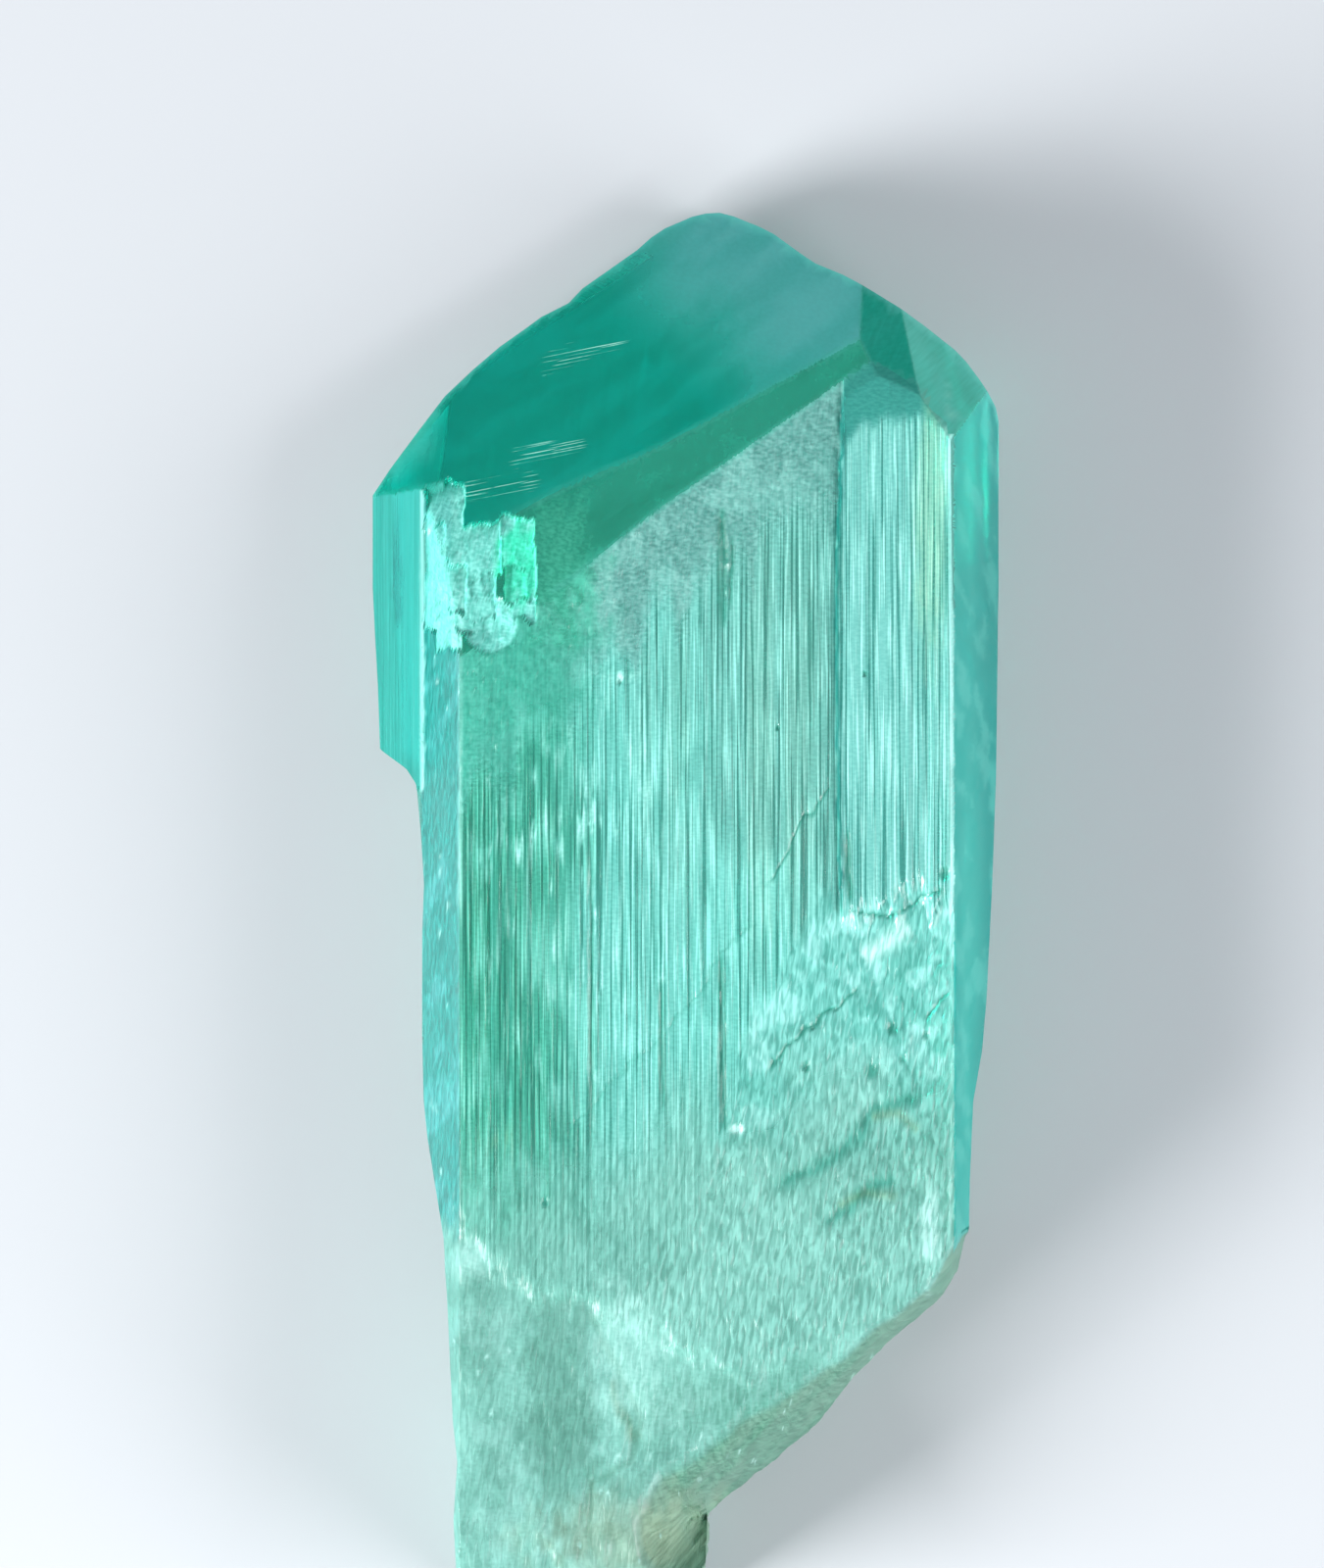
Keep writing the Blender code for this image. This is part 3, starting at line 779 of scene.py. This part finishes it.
# %% Masks of the faces
faces_here = front_faces(centres[:, 0], centres[:, 1])
faces_here["face"] = np.full(len(centres), FACE_LEVEL)
faces_here["left flank"], faces_here["right flank"] = (
    height_on(name, centres[:, 0], centres[:, 1]) for name in ("left flank", "right flank"))
names, levels = list(faces_here), np.stack(list(faces_here.values()))
gap = levels.min(axis=0) - centres[:, 2]


def lies_on(name, reach=0.4):
    """1 for the triangles whose lowest plane is the one asked for, if they are near it."""
    found = (levels.argmin(axis=0) == names.index(name)) & (gap < reach)
    return np.repeat(found[:, None], 3, axis=1) * 1.0


cx, cy, cz = np.split(centres, 3, axis=1)
ledge_gap, roof_gap = (np.abs(height_on(name, cx, cy) - cz) for name in ("ledge top", "roof"))
is_chipped = ease(chipped(x, y), 0.02, 0.12) * ease(z, 6, 7)
on_roof = np.maximum(lies_on("roof"), (roof_gap < 0.1) & (x < KEEL_LEFT_X + 0.3)) * (1 - is_chipped)
on_bevel = lies_on("bevel") * (1 - is_chipped)
on_cap = np.maximum(lies_on("cap"), lies_on("shoulder"))
on_ledge = (ledge_gap < 0.15) * (x < KEEL_LEFT_X + 0.1) * (y > LEDGE_FOOT) * (1 - on_roof)
on_left = lies_on("left flank", 6) * (x < FACE_LEFT + 0.1) * (1 - on_ledge) * (z > KEEL_LEFT)
on_right = lies_on("right flank", 1)
on_others = np.max([on_roof, on_bevel, on_cap, on_left, on_right, on_ledge], axis=0)
on_face = ease(z, 7.6, 8.4) * (1 - on_others)
on_pillar = ease(x - step_x(y), -0.05, 0.05) * on_face
print("flanks", on_left.mean().round(3), "and", on_right.mean().round(3), "of all corners")

# %% [markdown]
# Random fields make the colours uneven too: clouds and ragged patches of frost, bands that
# follow the ridges, veins, and wisps in the roof. Below the face the place in plan is shifted
# by the depth (u and v), or a patch would run down the walls as stripes.

# %% Masks of the marks and the finishes
cloud = ease(fractal(u, v, 2.6, 3.6, 121, layers=4), -0.8, 0.8)
patches = ease(fractal(u, v, 1.1, 1.2, 127, layers=6), 0.15, 0.65)
bands = ease(field(x + 0.2 * field(x, y, 3, 12, 122), y, 0.55, 80, 123), -0.7, 0.7)
wobble = field(x, y, 1.6, 9, 124)
wisps = ease(fractal(0.8 * u + 0.6 * v, 0.8 * v - 0.6 * u, 5, 0.9, 131, layers=4), -0.5, 0.7)
veins = 1 - ease(np.abs(fractal(x, y, 1.8, 1, 133, layers=5)), 0.03, 0.16)
break_streaks = ease(fractal(u + 1.07 * v, u - 0.93 * v, 4, 0.8, 95, layers=4), -0.4, 0.6)
is_etched, is_frosted = in_etched(x, y) * on_face, in_frosted(x, y) * on_face
on_break = ease(np.max([band_fall(band, x, y) for band in BREAK_BANDS], axis=0), 0, 0.5)
above_base = ease(z, 0.02, 0.15)
is_worn = np.maximum(in_worn(x, v), on_break) * above_base
on_left = on_left * (1 - 0.85 * is_worn)
is_marked = np.clip(marks(x, y) / 0.055, 0, 1) * on_face
beside_chip = patch(-5.4, 15, 1.5, 2.8, 0.7)
green_side = 1 - ease(x + 1.2 * cloud, -6, -2.6)
green_patch = green_side * patch(-8.2, -2.6, 1.5, 6.5, 0.8)
smooth_patch = patch(-6.5, 10.6, 2.4, 3.2, 0.9)
# painted sheen: where the face reflects the grey sky, at its upper middle
painted_sky_sheen = ease(x + 2 * cloud, -1.5, 2.5) * ease(y + 3 * cloud, 0.5, 7) * (1 - on_pillar)
dome = on_pillar * in_dome(x, y)
milky_foot = np.maximum(is_worn, ease(-4 - v + 0.25 * x + 2 * cloud, 2, 9.5) * above_base)
# painted sheen: the roof turns greyer towards the apex
painted_apex_sheen = ease(0.9 * x + y + wobble, 22, 31)
beside = np.sort(levels, axis=0)
# pale lines along the borders between the faces: partly wear, partly painted highlight
facet_edge_wear_and_highlight = ease(beside[0] - beside[1], -0.1, -0.03)[:, None] * ease(z, 3, 4) * (y > 14)
print("etched part", is_etched.mean().round(2), "and frosted part", is_frosted.mean().round(2))

# %% [markdown]
# A layer can change eight values. Glass tints the clear finish, and dark and light are the two
# colours of the milky one. Cover is the share of the milky finish, and gain is what the fine
# pattern adds to it. Pattern weighs hairlines, scales and fibres. Frost blurs the view into
# the stone, and scratched lets a few scratches show.

# %% The eight painted values
paint = {
    "glass": np.ones(corners.shape) * colour(205, 246, 240),
    "dark": np.ones(corners.shape) * colour(96, 190, 178),
    "light": np.ones(corners.shape) * colour(160, 230, 220),
    "pattern": np.zeros(corners.shape),
    "cover": np.full(x.shape, 0.04),
    "gain": np.zeros(x.shape),
    "frost": np.zeros(x.shape),
    "scratched": np.zeros(x.shape),
}
print("painted values:", ", ".join(paint))

# %% [markdown]
# The walls and the broad face come first, because the rest lies over them. The face is
# greener at its left, with pale bands along the ridges, and a painted grey sheen of the sky
# lies on its upper middle.

# %% Painting the walls and the broad face
lay(above_base * (1 - on_face), (50, 172, 158), (110, 212, 200), glass=(120, 236, 222),
    pattern=(0.6, 0, 0.1), cover=0.2, gain=0.25, frost=0.18)
lay(on_face, (72, 192, 176), (160, 255, 244), glass=(120, 240, 228), pattern=(0.9, 0, 0.1), cover=0.3,
    gain=0.45, frost=0.12)
lay(on_face * green_side * 0.85, (20, 166, 132), (104, 240, 208), glass=(10, 222, 180), cover=0.18,
    gain=0.42)
lay(green_patch * on_face * 0.8, (8, 150, 112), glass=(0, 180, 130))
lay(on_face * bands * 0.15, (110, 214, 204), (190, 255, 248))
lay(on_face * green_side * bands * 0.6, (4, 162, 136), (60, 216, 180), glass=(0, 206, 176), gain=0.22)
lay(on_face * patches * 0.4, (110, 220, 206), (180, 255, 246), cover=0.55)
lay(on_face * veins * patch(-4.6, 2, 3.6, 8, 0.9, 0.5) * 0.9, (150, 240, 228), (200, 255, 250),
    pattern=(0.5, 0.3, 0.2), cover=0.6)
lay(on_face * bands * patch(3.4, 8, 3.4, 6, 0.9) * 0.5, (110, 200, 170), (206, 255, 226))
# painted sheen: the grey reflection of the sky on the face's upper middle
lay(painted_sky_sheen * on_face * 0.7, (80, 166, 154), (160, 234, 222), glass=(160, 224, 214))
print("broad face", on_face.mean().round(2), "of all corners")

# %% [markdown]
# Below the bevel the ridges are frosted, with one smooth, green patch at the left. The pillar
# is brighter, with a pale painted glint near its upper right, and its upper end is a smooth dome.

# %% Painting the frosted part and the pillar
lay(is_frosted, (80, 150, 142), (130, 192, 184), glass=(130, 206, 196), pattern=(0, 0.3, 0.6), cover=0.58,
    gain=0.1, frost=0.35)
lay(is_frosted * patches * 0.5, (120, 196, 186), (160, 224, 214))
lay(is_frosted * ease(-x, 5.5, 7.5) * 0.9, (56, 190, 164), (106, 226, 204), glass=(10, 222, 184),
    pattern=(0.1, 0.3, 0.4), cover=0.42)
lay(smooth_patch * on_face * 0.85, (56, 186, 160), (104, 224, 200), glass=(10, 220, 182),
    pattern=(0.2, 0.2, 0.2), cover=0.42, gain=0.15, frost=0.25)
lay(smooth_patch * on_face * patches * 0.5, (110, 214, 196), cover=0.5)
lay(on_pillar, (80, 196, 186), (180, 255, 246), glass=(90, 234, 224), cover=0.32)
lay(dome, (58, 170, 160), (84, 196, 184), glass=(20, 200, 180), pattern=(0, 0, 0.4), cover=0.4, gain=0.08,
    frost=0.2)
# painted glint: a pale yellowish streak near the pillar's upper right
lay(on_pillar * patch(10.4, 17, 0.7, 5.5, 0.5) * 0.6, (120, 220, 190), (206, 255, 214))
print("pillar", on_pillar.mean().round(2), "of all corners")

# %% [markdown]
# The etched part and the foot scatter light between countless scales and lumps, so they are
# mostly milky. The break at the foot's edge is darker, and has slanting streaks.

# %% Painting the etched part and the foot
lay(is_etched * 0.85, (100, 192, 180), (142, 228, 218), pattern=(0, 1, 0), cover=0.52, gain=0.12)
lay(is_etched * (1 - cloud) * 0.5, (76, 180, 164), (112, 210, 196), glass=(40, 200, 170))
lay(is_etched * patches * 0.7, (132, 214, 206), (176, 246, 238), cover=0.65)
lay(milky_foot * 0.9, (96, 164, 148), (126, 194, 180), glass=(140, 206, 192), cover=0.5, gain=0.24,
    frost=0.35)
lay(milky_foot * 0.6, pattern=(0.1, 0.9, 0.2))
lay(milky_foot * cloud * 0.5, (122, 190, 176), (146, 210, 198), cover=0.65)
lay(is_worn * 0.9, (108, 178, 162), (136, 204, 190), pattern=(0, 0.5, 0.3), gain=0.16)
lay(is_worn * cloud * 0.6, (134, 202, 190), (150, 216, 204), cover=0.65)
lay(is_worn * patches * 0.4, (150, 214, 202), (166, 228, 218))
lay(is_worn * patch(-5.3, -20.5, 1.3, 6, 0.4, 0.4) * 0.6, (88, 158, 140), (108, 180, 162),
    glass=(70, 176, 146), pattern=(0, 0.6, 0.2), cover=0.42)
lay(is_worn * patch(3, -20.4, 5, 1.6, 0.8, 0.4) * 0.5, (92, 172, 148), glass=(60, 190, 150))
lay(on_break * above_base * 0.9, (60, 114, 92), (98, 150, 126), pattern=(0, 0.4, 0.8), cover=0.8)
lay(on_break * break_streaks * above_base * 0.6, (90, 136, 116), (114, 160, 140))
lay(is_worn * line(FOOT_EDGE, 0.16) * 0.6, (76, 138, 118), (96, 158, 138))
print("foot and break", is_worn.mean().round(2), "of all corners")

# %% [markdown]
# The slanted faces at the tip are the clearest. Wisps and patches of milk keep them from
# looking like bottle glass, a grey sheen is painted on the roof near the apex, and the stone
# beside the chip is cracked and paler.

# %% Painting the roof, the bevel and the cap
lay(on_roof, (0, 210, 186), (0, 236, 212), glass=(0, 248, 214), pattern=(0, 0, 0.15), cover=0.2,
    gain=0.05, frost=0.02)
lay(on_roof * patches * 0.4, (0, 220, 200), glass=(0, 255, 230), cover=0.26)
lay(on_roof * wisps * 0.6, (0, 210, 190), glass=(0, 255, 226), cover=0.3)
# painted sheen: a grey reflection on the roof near the apex
lay(on_roof * painted_apex_sheen * 0.9, (92, 184, 184), (110, 204, 204), glass=(50, 250, 246), cover=0.5, gain=0.03)
lay(on_roof * painted_apex_sheen * wisps * 0.5, (110, 190, 192), cover=0.6)
lay(on_bevel, (16, 162, 132), (60, 206, 174), glass=(0, 206, 156), pattern=(0, 0.1, 0.15), cover=0.28,
    gain=0.1, frost=0.06)
lay(on_bevel * patches * 0.7, glass=(20, 214, 160), cover=0.4)
lay(on_bevel * wisps * 0.5, (50, 186, 160), glass=(0, 220, 180), cover=0.42)
lay(beside_chip * (on_face + on_bevel), (48, 172, 142), (90, 212, 180), glass=(20, 214, 166),
    pattern=(0, 0.1, 0.5), cover=0.45, gain=0.1, frost=0.2)
lay(beside_chip * patches * on_face * 0.6, (100, 214, 190), cover=0.6)
lay(on_cap, (10, 176, 152), (50, 206, 184), glass=(0, 230, 200), pattern=(0, 0.2, 0.2), cover=0.45,
    gain=0.06, frost=0.12)
lay(on_cap * wisps * 0.5, (50, 182, 164), cover=0.5)
lay(lies_on("shoulder") * (0.4 + 0.6 * cloud), (64, 196, 178), (96, 216, 200), glass=(20, 220, 196),
    cover=0.5)
print("roof", on_roof.mean().round(2), "and bevel", on_bevel.mean().round(2), "of all corners")

# %% [markdown]
# The left flank is scaly and the right one nearly opaque, with bands along the blade. The
# narrow ledge at the left is pale and catches the light.

# %% Painting the flanks and the ledge
lay(on_left, (20, 152, 146), (66, 196, 188), glass=(20, 200, 190), pattern=(0, 0.6, 0), cover=0.36,
    gain=0.3, frost=0.25)
lay(on_left * patches * 0.6, (70, 176, 176), (110, 206, 206), cover=0.5)
lay(on_right, (30, 168, 158), (70, 200, 190), glass=(0, 160, 150), pattern=(0.2, 0, 0), cover=0.72,
    gain=0.12, frost=0.25)
lay(on_right * bands * 0.6, (76, 202, 188), (110, 224, 212))
lay(on_right * ease(x + 0.5 * wobble, 11.9, 13.2) * 0.8, (10, 146, 140), (40, 170, 162))
lay(on_right * patches * 0.3, (110, 214, 202), (140, 232, 222))
lay(on_ledge, (60, 216, 206), (114, 246, 238), glass=(20, 236, 222), pattern=(0.25, 0, 0), cover=0.28,
    gain=0.1, frost=0.1)
lay(on_ledge * bands * 0.6, (70, 216, 204), cover=0.4)
lay(on_ledge * line(((-12.5, 16), (-12.45, 12.6)), 0.2) * 0.6, (50, 130, 136), (70, 150, 150))
print("ledge", on_ledge.mean().round(3), "of all corners")

# %% [markdown]
# The single marks lie on top: stains in the cracks, pale bruises, pale edges that are partly
# wear and partly painted highlight, a painted shade along the foot of the step, and the fresh
# chip with its bright green block. They are few enough to be placed one by one.

# %% Painting the single marks
STAINS = (
    (((7.9, -8.4), (9, -8.2), (9.9, -9)), 0.2), (((6.4, -12.2), (7.6, -11.6), (9.1, -11.8)), 0.2),
    (((-3.2, -19.5), (-2.9, -20.6), (-2.2, -22.2)), 0.2), (((-9.2, -9.2), (-8.3, -9.4), (-7.2, -9.2)), 0.25),
)
# pale line along the ledge's inner edge: partly wear, partly painted highlight
ledge_edge_wear_and_highlight = ease(-np.abs(x - KEEL_LEFT_X), -0.14, -0.05) * (y > LEDGE_FOOT)
ledge_edge_wear_and_highlight = ledge_edge_wear_and_highlight * ease(z, 5, 5.6) * (1 - on_roof)
# pale lines along the face's left and right rims: partly wear, partly painted highlight
rim_x = np.minimum(np.abs(x - FACE_LEFT - 0.03), np.abs(x - PILLAR_RIGHT))
rim_wear_and_highlight = (1 - ease(rim_x, 0.05, 0.16)) * ease(z, 8, 9) * (0.5 + 0.5 * wobble)
rim_wear_and_highlight = rim_wear_and_highlight * (1 - 0.7 * (y < 0.5)) * (1 - is_worn)
pale = np.max([
    0.9 * line(((7.5, -1.6), (8.4, -1.1), (9.5, -0.2)), 0.4),
    patch(-2.83, 10.31, 0.16, 0.25),
    0.5 * patch(-9.2, -14.5, 0.6, 0.7, 0.9),
    patch(2.2, -8.9, 0.3, 0.16),
    0.5 * patch(10.4, -13.2, 0.4, 2),
    0.25 * patch(-2.6, -18.4, 1.5, 2.4, 0.5, 0.5),
    0.6 * is_worn * ease(fractal(x, y, 0.3, 0.3, 155), 1, 1.3),
    0.7 * on_left * ease(fractal(x, y, 0.3, 0.6, 153), 0.9, 1.2),
], axis=0) * ease(z, 5, 6)
# painted shade: a dark line along the foot of the step up to the pillar
lay(line(STEP_LINE[:4], 0.17) * ease(z, 8, 9), (16, 120, 112), (30, 136, 128), glass=(0, 130, 120),
    cover=0.5)
lay(is_marked * 0.8, (28, 140, 120), (56, 160, 142), glass=(20, 164, 138), cover=0.5)
lay(is_chipped * 0.9, (104, 218, 202), (158, 250, 238), glass=(80, 230, 206), pattern=(0, 0.4, 0.6),
    cover=0.66, gain=0.2)
lay(is_chipped * (x < -10.1) * 0.8, (100, 214, 202), (136, 238, 228), cover=0.6)
lay(is_chipped * (1 - ease(np.abs(fractal(x, y, 0.8, 0.7, 151)), 0.02, 0.1)) * 0.6, (46, 140, 124),
    (60, 150, 134))
for stain, width in STAINS:
    lay(line(stain, width) * on_face * 0.6, (70, 116, 84), (120, 160, 126), cover=0.7)
lay(patch(-2, -26.4, 3.6, 1.6, 0.9) * is_worn * 0.5, (150, 168, 136), (168, 184, 154))
lay(pale, (160, 226, 216), (206, 250, 244), cover=0.75)
# pale edges at the rims and the ledge: partly wear, partly painted highlight
lay(np.maximum(rim_wear_and_highlight, ledge_edge_wear_and_highlight) * 0.7, (170, 240, 232), (210, 255, 250), cover=0.7)
# pale line along the upper outline: partly wear, partly painted highlight
lay((1 - ease(along_line(TOP_OUTLINE, x, y)[0], 0.05, 0.2)) * ease(z, 2, 3) * 0.6, (110, 220, 210),
    (150, 240, 232), cover=0.6)
# pale lines between the faces: partly wear, partly painted highlight
lay(facet_edge_wear_and_highlight * 0.35, (80, 200, 180), (120, 226, 210), cover=0.4)
lay(patch(-7.1, 15.2, 0.85, 1.9, 0.3) * is_chipped, (50, 232, 184), (100, 255, 220), glass=(90, 255, 190),
    cover=0.7)
for scratch in (((-5.9, 24.1), (-2.7, 25.2)), ((-7.3, 19.9), (-4.7, 20.4)), ((-9.4, 18.4), (-6.7, 18.8))):
    lay(ease(-along_line(scratch, x, y)[0], -0.5, -0.2) * on_roof, scratched=1)
print("chip", is_chipped.mean().round(3), "of all corners")

# %% [markdown]
# A mesh keeps such values as colour attributes. Each has a fourth number beside its red,
# green and blue, so four attributes hold all eight values.

# %% Keeping the paint on the corners
for name, fourth in {"glass": "cover", "dark": "gain", "light": "scratched", "pattern": "frost"}.items():
    values = np.concatenate([paint[name], paint[fourth][..., None]], axis=-1)
    attribute = mesh.attributes.new(name, "FLOAT_COLOR", "CORNER")
    attribute.data.foreach_set("color", values.astype(np.float32).ravel())
print("painted", len(mesh.loops), "corners,", int(on_roof[:, 0].sum()), "triangles on the roof")

# %% [markdown]
# The shader adds what is finer than the triangles. Adding its nodes one by one would hide the
# idea, so a small class wraps a socket and lets it be written as arithmetic.

# %% Shader maths as expressions
material = bpy.data.materials.new("green_spodumene")
material.use_nodes = True
tree = material.node_tree
tree.nodes.clear()


class Value:
    """A number or colour in the node tree. Arithmetic on it makes Math nodes."""

    def __init__(self, socket):
        self.socket = socket

    def math(self, operation, *others):
        """A Math node of this value and the others."""
        return node("Math", {"operation": operation}, self, *others)

    def __add__(self, other):
        return self.math("ADD", other)

    def __sub__(self, other):
        return self.math("SUBTRACT", other)

    def __mul__(self, other):
        return self.math("MULTIPLY", other)

    def __rsub__(self, other):
        return (self * -1.0) + other

    __radd__ = __add__
    __rmul__ = __mul__


def plug(value, socket):
    """Links a Value to a socket, or sets the socket to a plain number."""
    if isinstance(value, Value):
        socket.id_data.links.new(value.socket, socket)
    else:
        socket.default_value = value


def node(kind, settings, *values, output=0, into=tree, **named):
    """One output of a new node, given its settings, then its inputs in order or by name."""
    made = into.nodes.new("ShaderNode" + kind)
    for name, setting in settings.items():
        setattr(made, name, setting)
    for socket, value in zip(made.inputs, values):
        plug(value, socket)
    for name, value in named.items():
        plug(value, made.inputs[name.replace("_", " ")])
    return Value(made.outputs[output])


print("empty node tree of", material.name)

# %% [markdown]
# Some nodes have several outputs, or inputs that share a name. They get helpers of their own,
# and so does the paint, which the shader reads back by the names it was kept under.

# %% Mixing, splitting and reading the paint
def mix(factor, first, second):
    """Blends two colours, each a Value or three numbers."""
    first, second = ((*c, 1.0) if isinstance(c, np.ndarray) else c for c in (first, second))
    made = tree.nodes.new("ShaderNodeMix")
    made.data_type = "RGBA"
    for value, number in ((factor, 0), (first, 6), (second, 7)):
        plug(value, made.inputs[number])
    return Value(made.outputs[2])


def split(kind, value):
    """The three parts of a colour or a place."""
    made = tree.nodes.new("ShaderNode" + kind)
    plug(value, made.inputs[0])
    return [Value(socket) for socket in made.outputs]


def painted(name):
    """The colour and the number that the mesh's corners carry under a name."""
    made = tree.nodes.new("ShaderNodeAttribute")
    made.attribute_name = name
    return Value(made.outputs["Color"]), Value(made.outputs["Alpha"])


glass, cover = painted("glass")
dark, gain = painted("dark")
light, scratched = painted("light")
weights, frost = painted("pattern")
print("nodes that read the paint", len(tree.nodes))

# %% [markdown]
# Noise drawn out along the blade makes hairlines, and noise with a shorter stretch makes
# scales. They darken and lighten the milky finish, thicken it in places, and raise a very low
# relief. Here too the place in plan is shifted by the depth.

# %% The fine pattern
HAIRLINE_MILK = colour(30, 130, 112)
HAIRLINE_TINT = colour(30, 140, 120)
SCRATCH_MILK = colour(190, 255, 240)
RELIEF = 0.04 * MM
PATTERN_SHIFT = 0.4
ax, ay, az = split("SeparateXYZ", node("TexCoord", {}, output="Object"))
down = az * (1.0 / MM) - FACE_LEVEL
px, py = (axis * (1.0 / MM) + down * PATTERN_SHIFT for axis in (ax, ay))


def grain(across, along, size_x, size_y, seed, detail, low, high, bend=0.0):
    """Noise with its own size along two axes in millimetres, from 0 below low to 1 above high."""
    at_x, at_y = across * (1.0 / size_x) + seed * 7.3, along * (1.0 / size_y) + seed * 3.7
    at = node("CombineXYZ", {}, at_x, at_y)
    noise = node("TexNoise", {"noise_dimensions": "2D"}, at,
                 Scale=1.0, Detail=detail, Distortion=bend)
    return node("MapRange", {}, noise, low, high)


of_lines, of_scales, of_fibres = split("SeparateColor", weights)
bright = grain(px, py, 0.10, 4.0, 1, 1.0, 0.50, 0.74)
lined = grain(px, py, 0.11, 12.0, 2, 0.0, 0.54, 0.70)
streaks = bright * 0.5 - lined * 0.4 + 0.45
scales = grain(px - py * 0.12, py, 0.16, 0.8, 3, 1.0, 0.32, 0.68, 0.5)
fibres = grain(px, py, 0.26, 0.12, 4, 1.0, 0.32, 0.68)
scratch = grain(py * 0.96 - px * 0.26, px * 0.96 + py * 0.26, 0.04, 3.4, 6, 0.0, 0.70, 0.76) * scratched
pattern = streaks * of_lines + scales * of_scales + fibres * of_fibres
thin = lined * of_lines
milk = mix(scratch, mix(thin * 0.4, mix(pattern, dark, light), HAIRLINE_MILK), SCRATCH_MILK)
tint = mix(thin * 0.4, glass, HAIRLINE_TINT)
share = cover + gain * pattern + scratch * 0.5
relief = bright * of_lines + scales * of_scales
bump = node("Bump", {}, Strength=0.5, Distance=RELIEF, Height=relief)
print("nodes of the pattern", len(tree.nodes))

# %% [markdown]
# Spodumene bends light strongly, with an index of 1.66. The clear finish lets all light
# through, and the milky one scatters it, as countless fine cracks do. Inside, absorption takes
# the red out of the light, so the thick middle is greener than the thin edges, which a tinted
# surface alone couldn't show.

# %% The two finishes
BENDING = 1.66
REFLECTION = 0.2
MILKY_ROUGHNESS = 0.4
POLISHED_ROUGHNESS = 0.04
DEPTH_COLOUR = (0.15, 0.93, 0.85, 1.0)
DEPTH_DENSITY = 50.0


def finish(base, roughness, transmission):
    """A Principled finish of the stone with its own base colour and roughness."""
    return node("BsdfPrincipled", {}, Base_Color=base, Roughness=roughness, Normal=bump,
                IOR=BENDING, Specular_IOR_Level=REFLECTION, Transmission_Weight=transmission)


clear = finish(tint, frost + POLISHED_ROUGHNESS, 1.0)
milky = finish(milk, MILKY_ROUGHNESS, 0.0)
surface = tree.nodes.new("ShaderNodeOutputMaterial")
plug(node("MixShader", {}, share, clear, milky), surface.inputs["Surface"])
plug(node("VolumeAbsorption", {}, DEPTH_COLOUR, DEPTH_DENSITY), surface.inputs["Volume"])
mesh.materials.clear()
mesh.materials.append(material)
scene.view_settings.view_transform = "Standard"
print("material nodes", len(tree.nodes))

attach(crystal, "root")
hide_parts(NODE)

# %% [markdown]
# The camera looks straight down through a long lens, so that the crystal keeps its
# proportions. It stands a little off its middle, to leave room beyond the tip.

# %% Camera
CAMERA_PLACE = (-1.02, 5.8, 300.0)
LENS = 156.06
camera_data = bpy.data.cameras.new("camera")
camera_data.lens = LENS
camera_data.clip_start = 0.01
camera = bpy.data.objects.new("camera", camera_data)
camera.location = [v * MM for v in CAMERA_PLACE]
scene.collection.objects.link(camera)
bpy.context.scene.camera = camera
print("camera", round(camera.location.z / MM), "mm above the floor")

# %% [markdown]
# A clear stone shows what is behind it, so the floor matters as much as the lamps. It is
# plain, pale and wide, and there only for the picture.

# %% Floor
FLOOR_HALF = 1.5
FLOOR_COLOUR = (186, 189, 193)
square = [(-FLOOR_HALF, -FLOOR_HALF, 0), (FLOOR_HALF, -FLOOR_HALF, 0), (FLOOR_HALF, FLOOR_HALF, 0),
          (-FLOOR_HALF, FLOOR_HALF, 0)]
floor = bpy.data.objects.new("floor", bpy.data.meshes.new("floor"))
floor.data.from_pydata(square, [], [(0, 1, 2, 3)])
scene.collection.objects.link(floor)
pale_floor = bpy.data.materials.new("floor")
pale_floor.use_nodes = True
floor_finish = pale_floor.node_tree.nodes["Principled BSDF"]
floor_finish.inputs["Base Color"].default_value = (*colour(*FLOOR_COLOUR), 1.0)
floor_finish.inputs["Roughness"].default_value = 0.7
floor.data.materials.append(pale_floor)
print("floor", 2 * FLOOR_HALF, "m wide")

# %% [markdown]
# The sky is brighter overhead than at the horizon, which the flat faces reflect softly. A
# lamp low at the left gives each ridge a light and a dark side, and a weaker one fills in.

# %% Sky and lamps
SKY_COLOUR = (0.86, 0.93, 1.0, 1.0)
HORIZON, OVERHEAD = 0.05, 0.50
FULL_BRIGHT_AT = 0.8
world = bpy.data.worlds.new("world")
scene.world = world
world.use_nodes = True
sky = world.node_tree
direction = node("TexCoord", {}, output="Generated", into=sky)
upward = node("SeparateXYZ", {}, direction, output="Z", into=sky)
brightness = node("MapRange", {"interpolation_type": "SMOOTHSTEP"},
                  upward, 0.0, FULL_BRIGHT_AT, HORIZON, OVERHEAD, into=sky)
plug(brightness, sky.nodes["Background"].inputs["Strength"])
plug(SKY_COLOUR, sky.nodes["Background"].inputs["Color"])


def soft_light(name, place, size, watts):
    """Square area light at a place, facing the crystal's middle."""
    data = bpy.data.lights.new(name, "AREA")
    data.size, data.energy = size, watts
    light = bpy.data.objects.new(name, data)
    light.location = place
    light.rotation_euler = (-Vector(place)).to_track_quat("-Z", "Y").to_euler()
    scene.collection.objects.link(light)


soft_light("key", (-0.36, -0.16, 0.20), size=0.20, watts=3.9)
soft_light("fill", (0.35, -0.15, 0.22), size=0.30, watts=2.2)
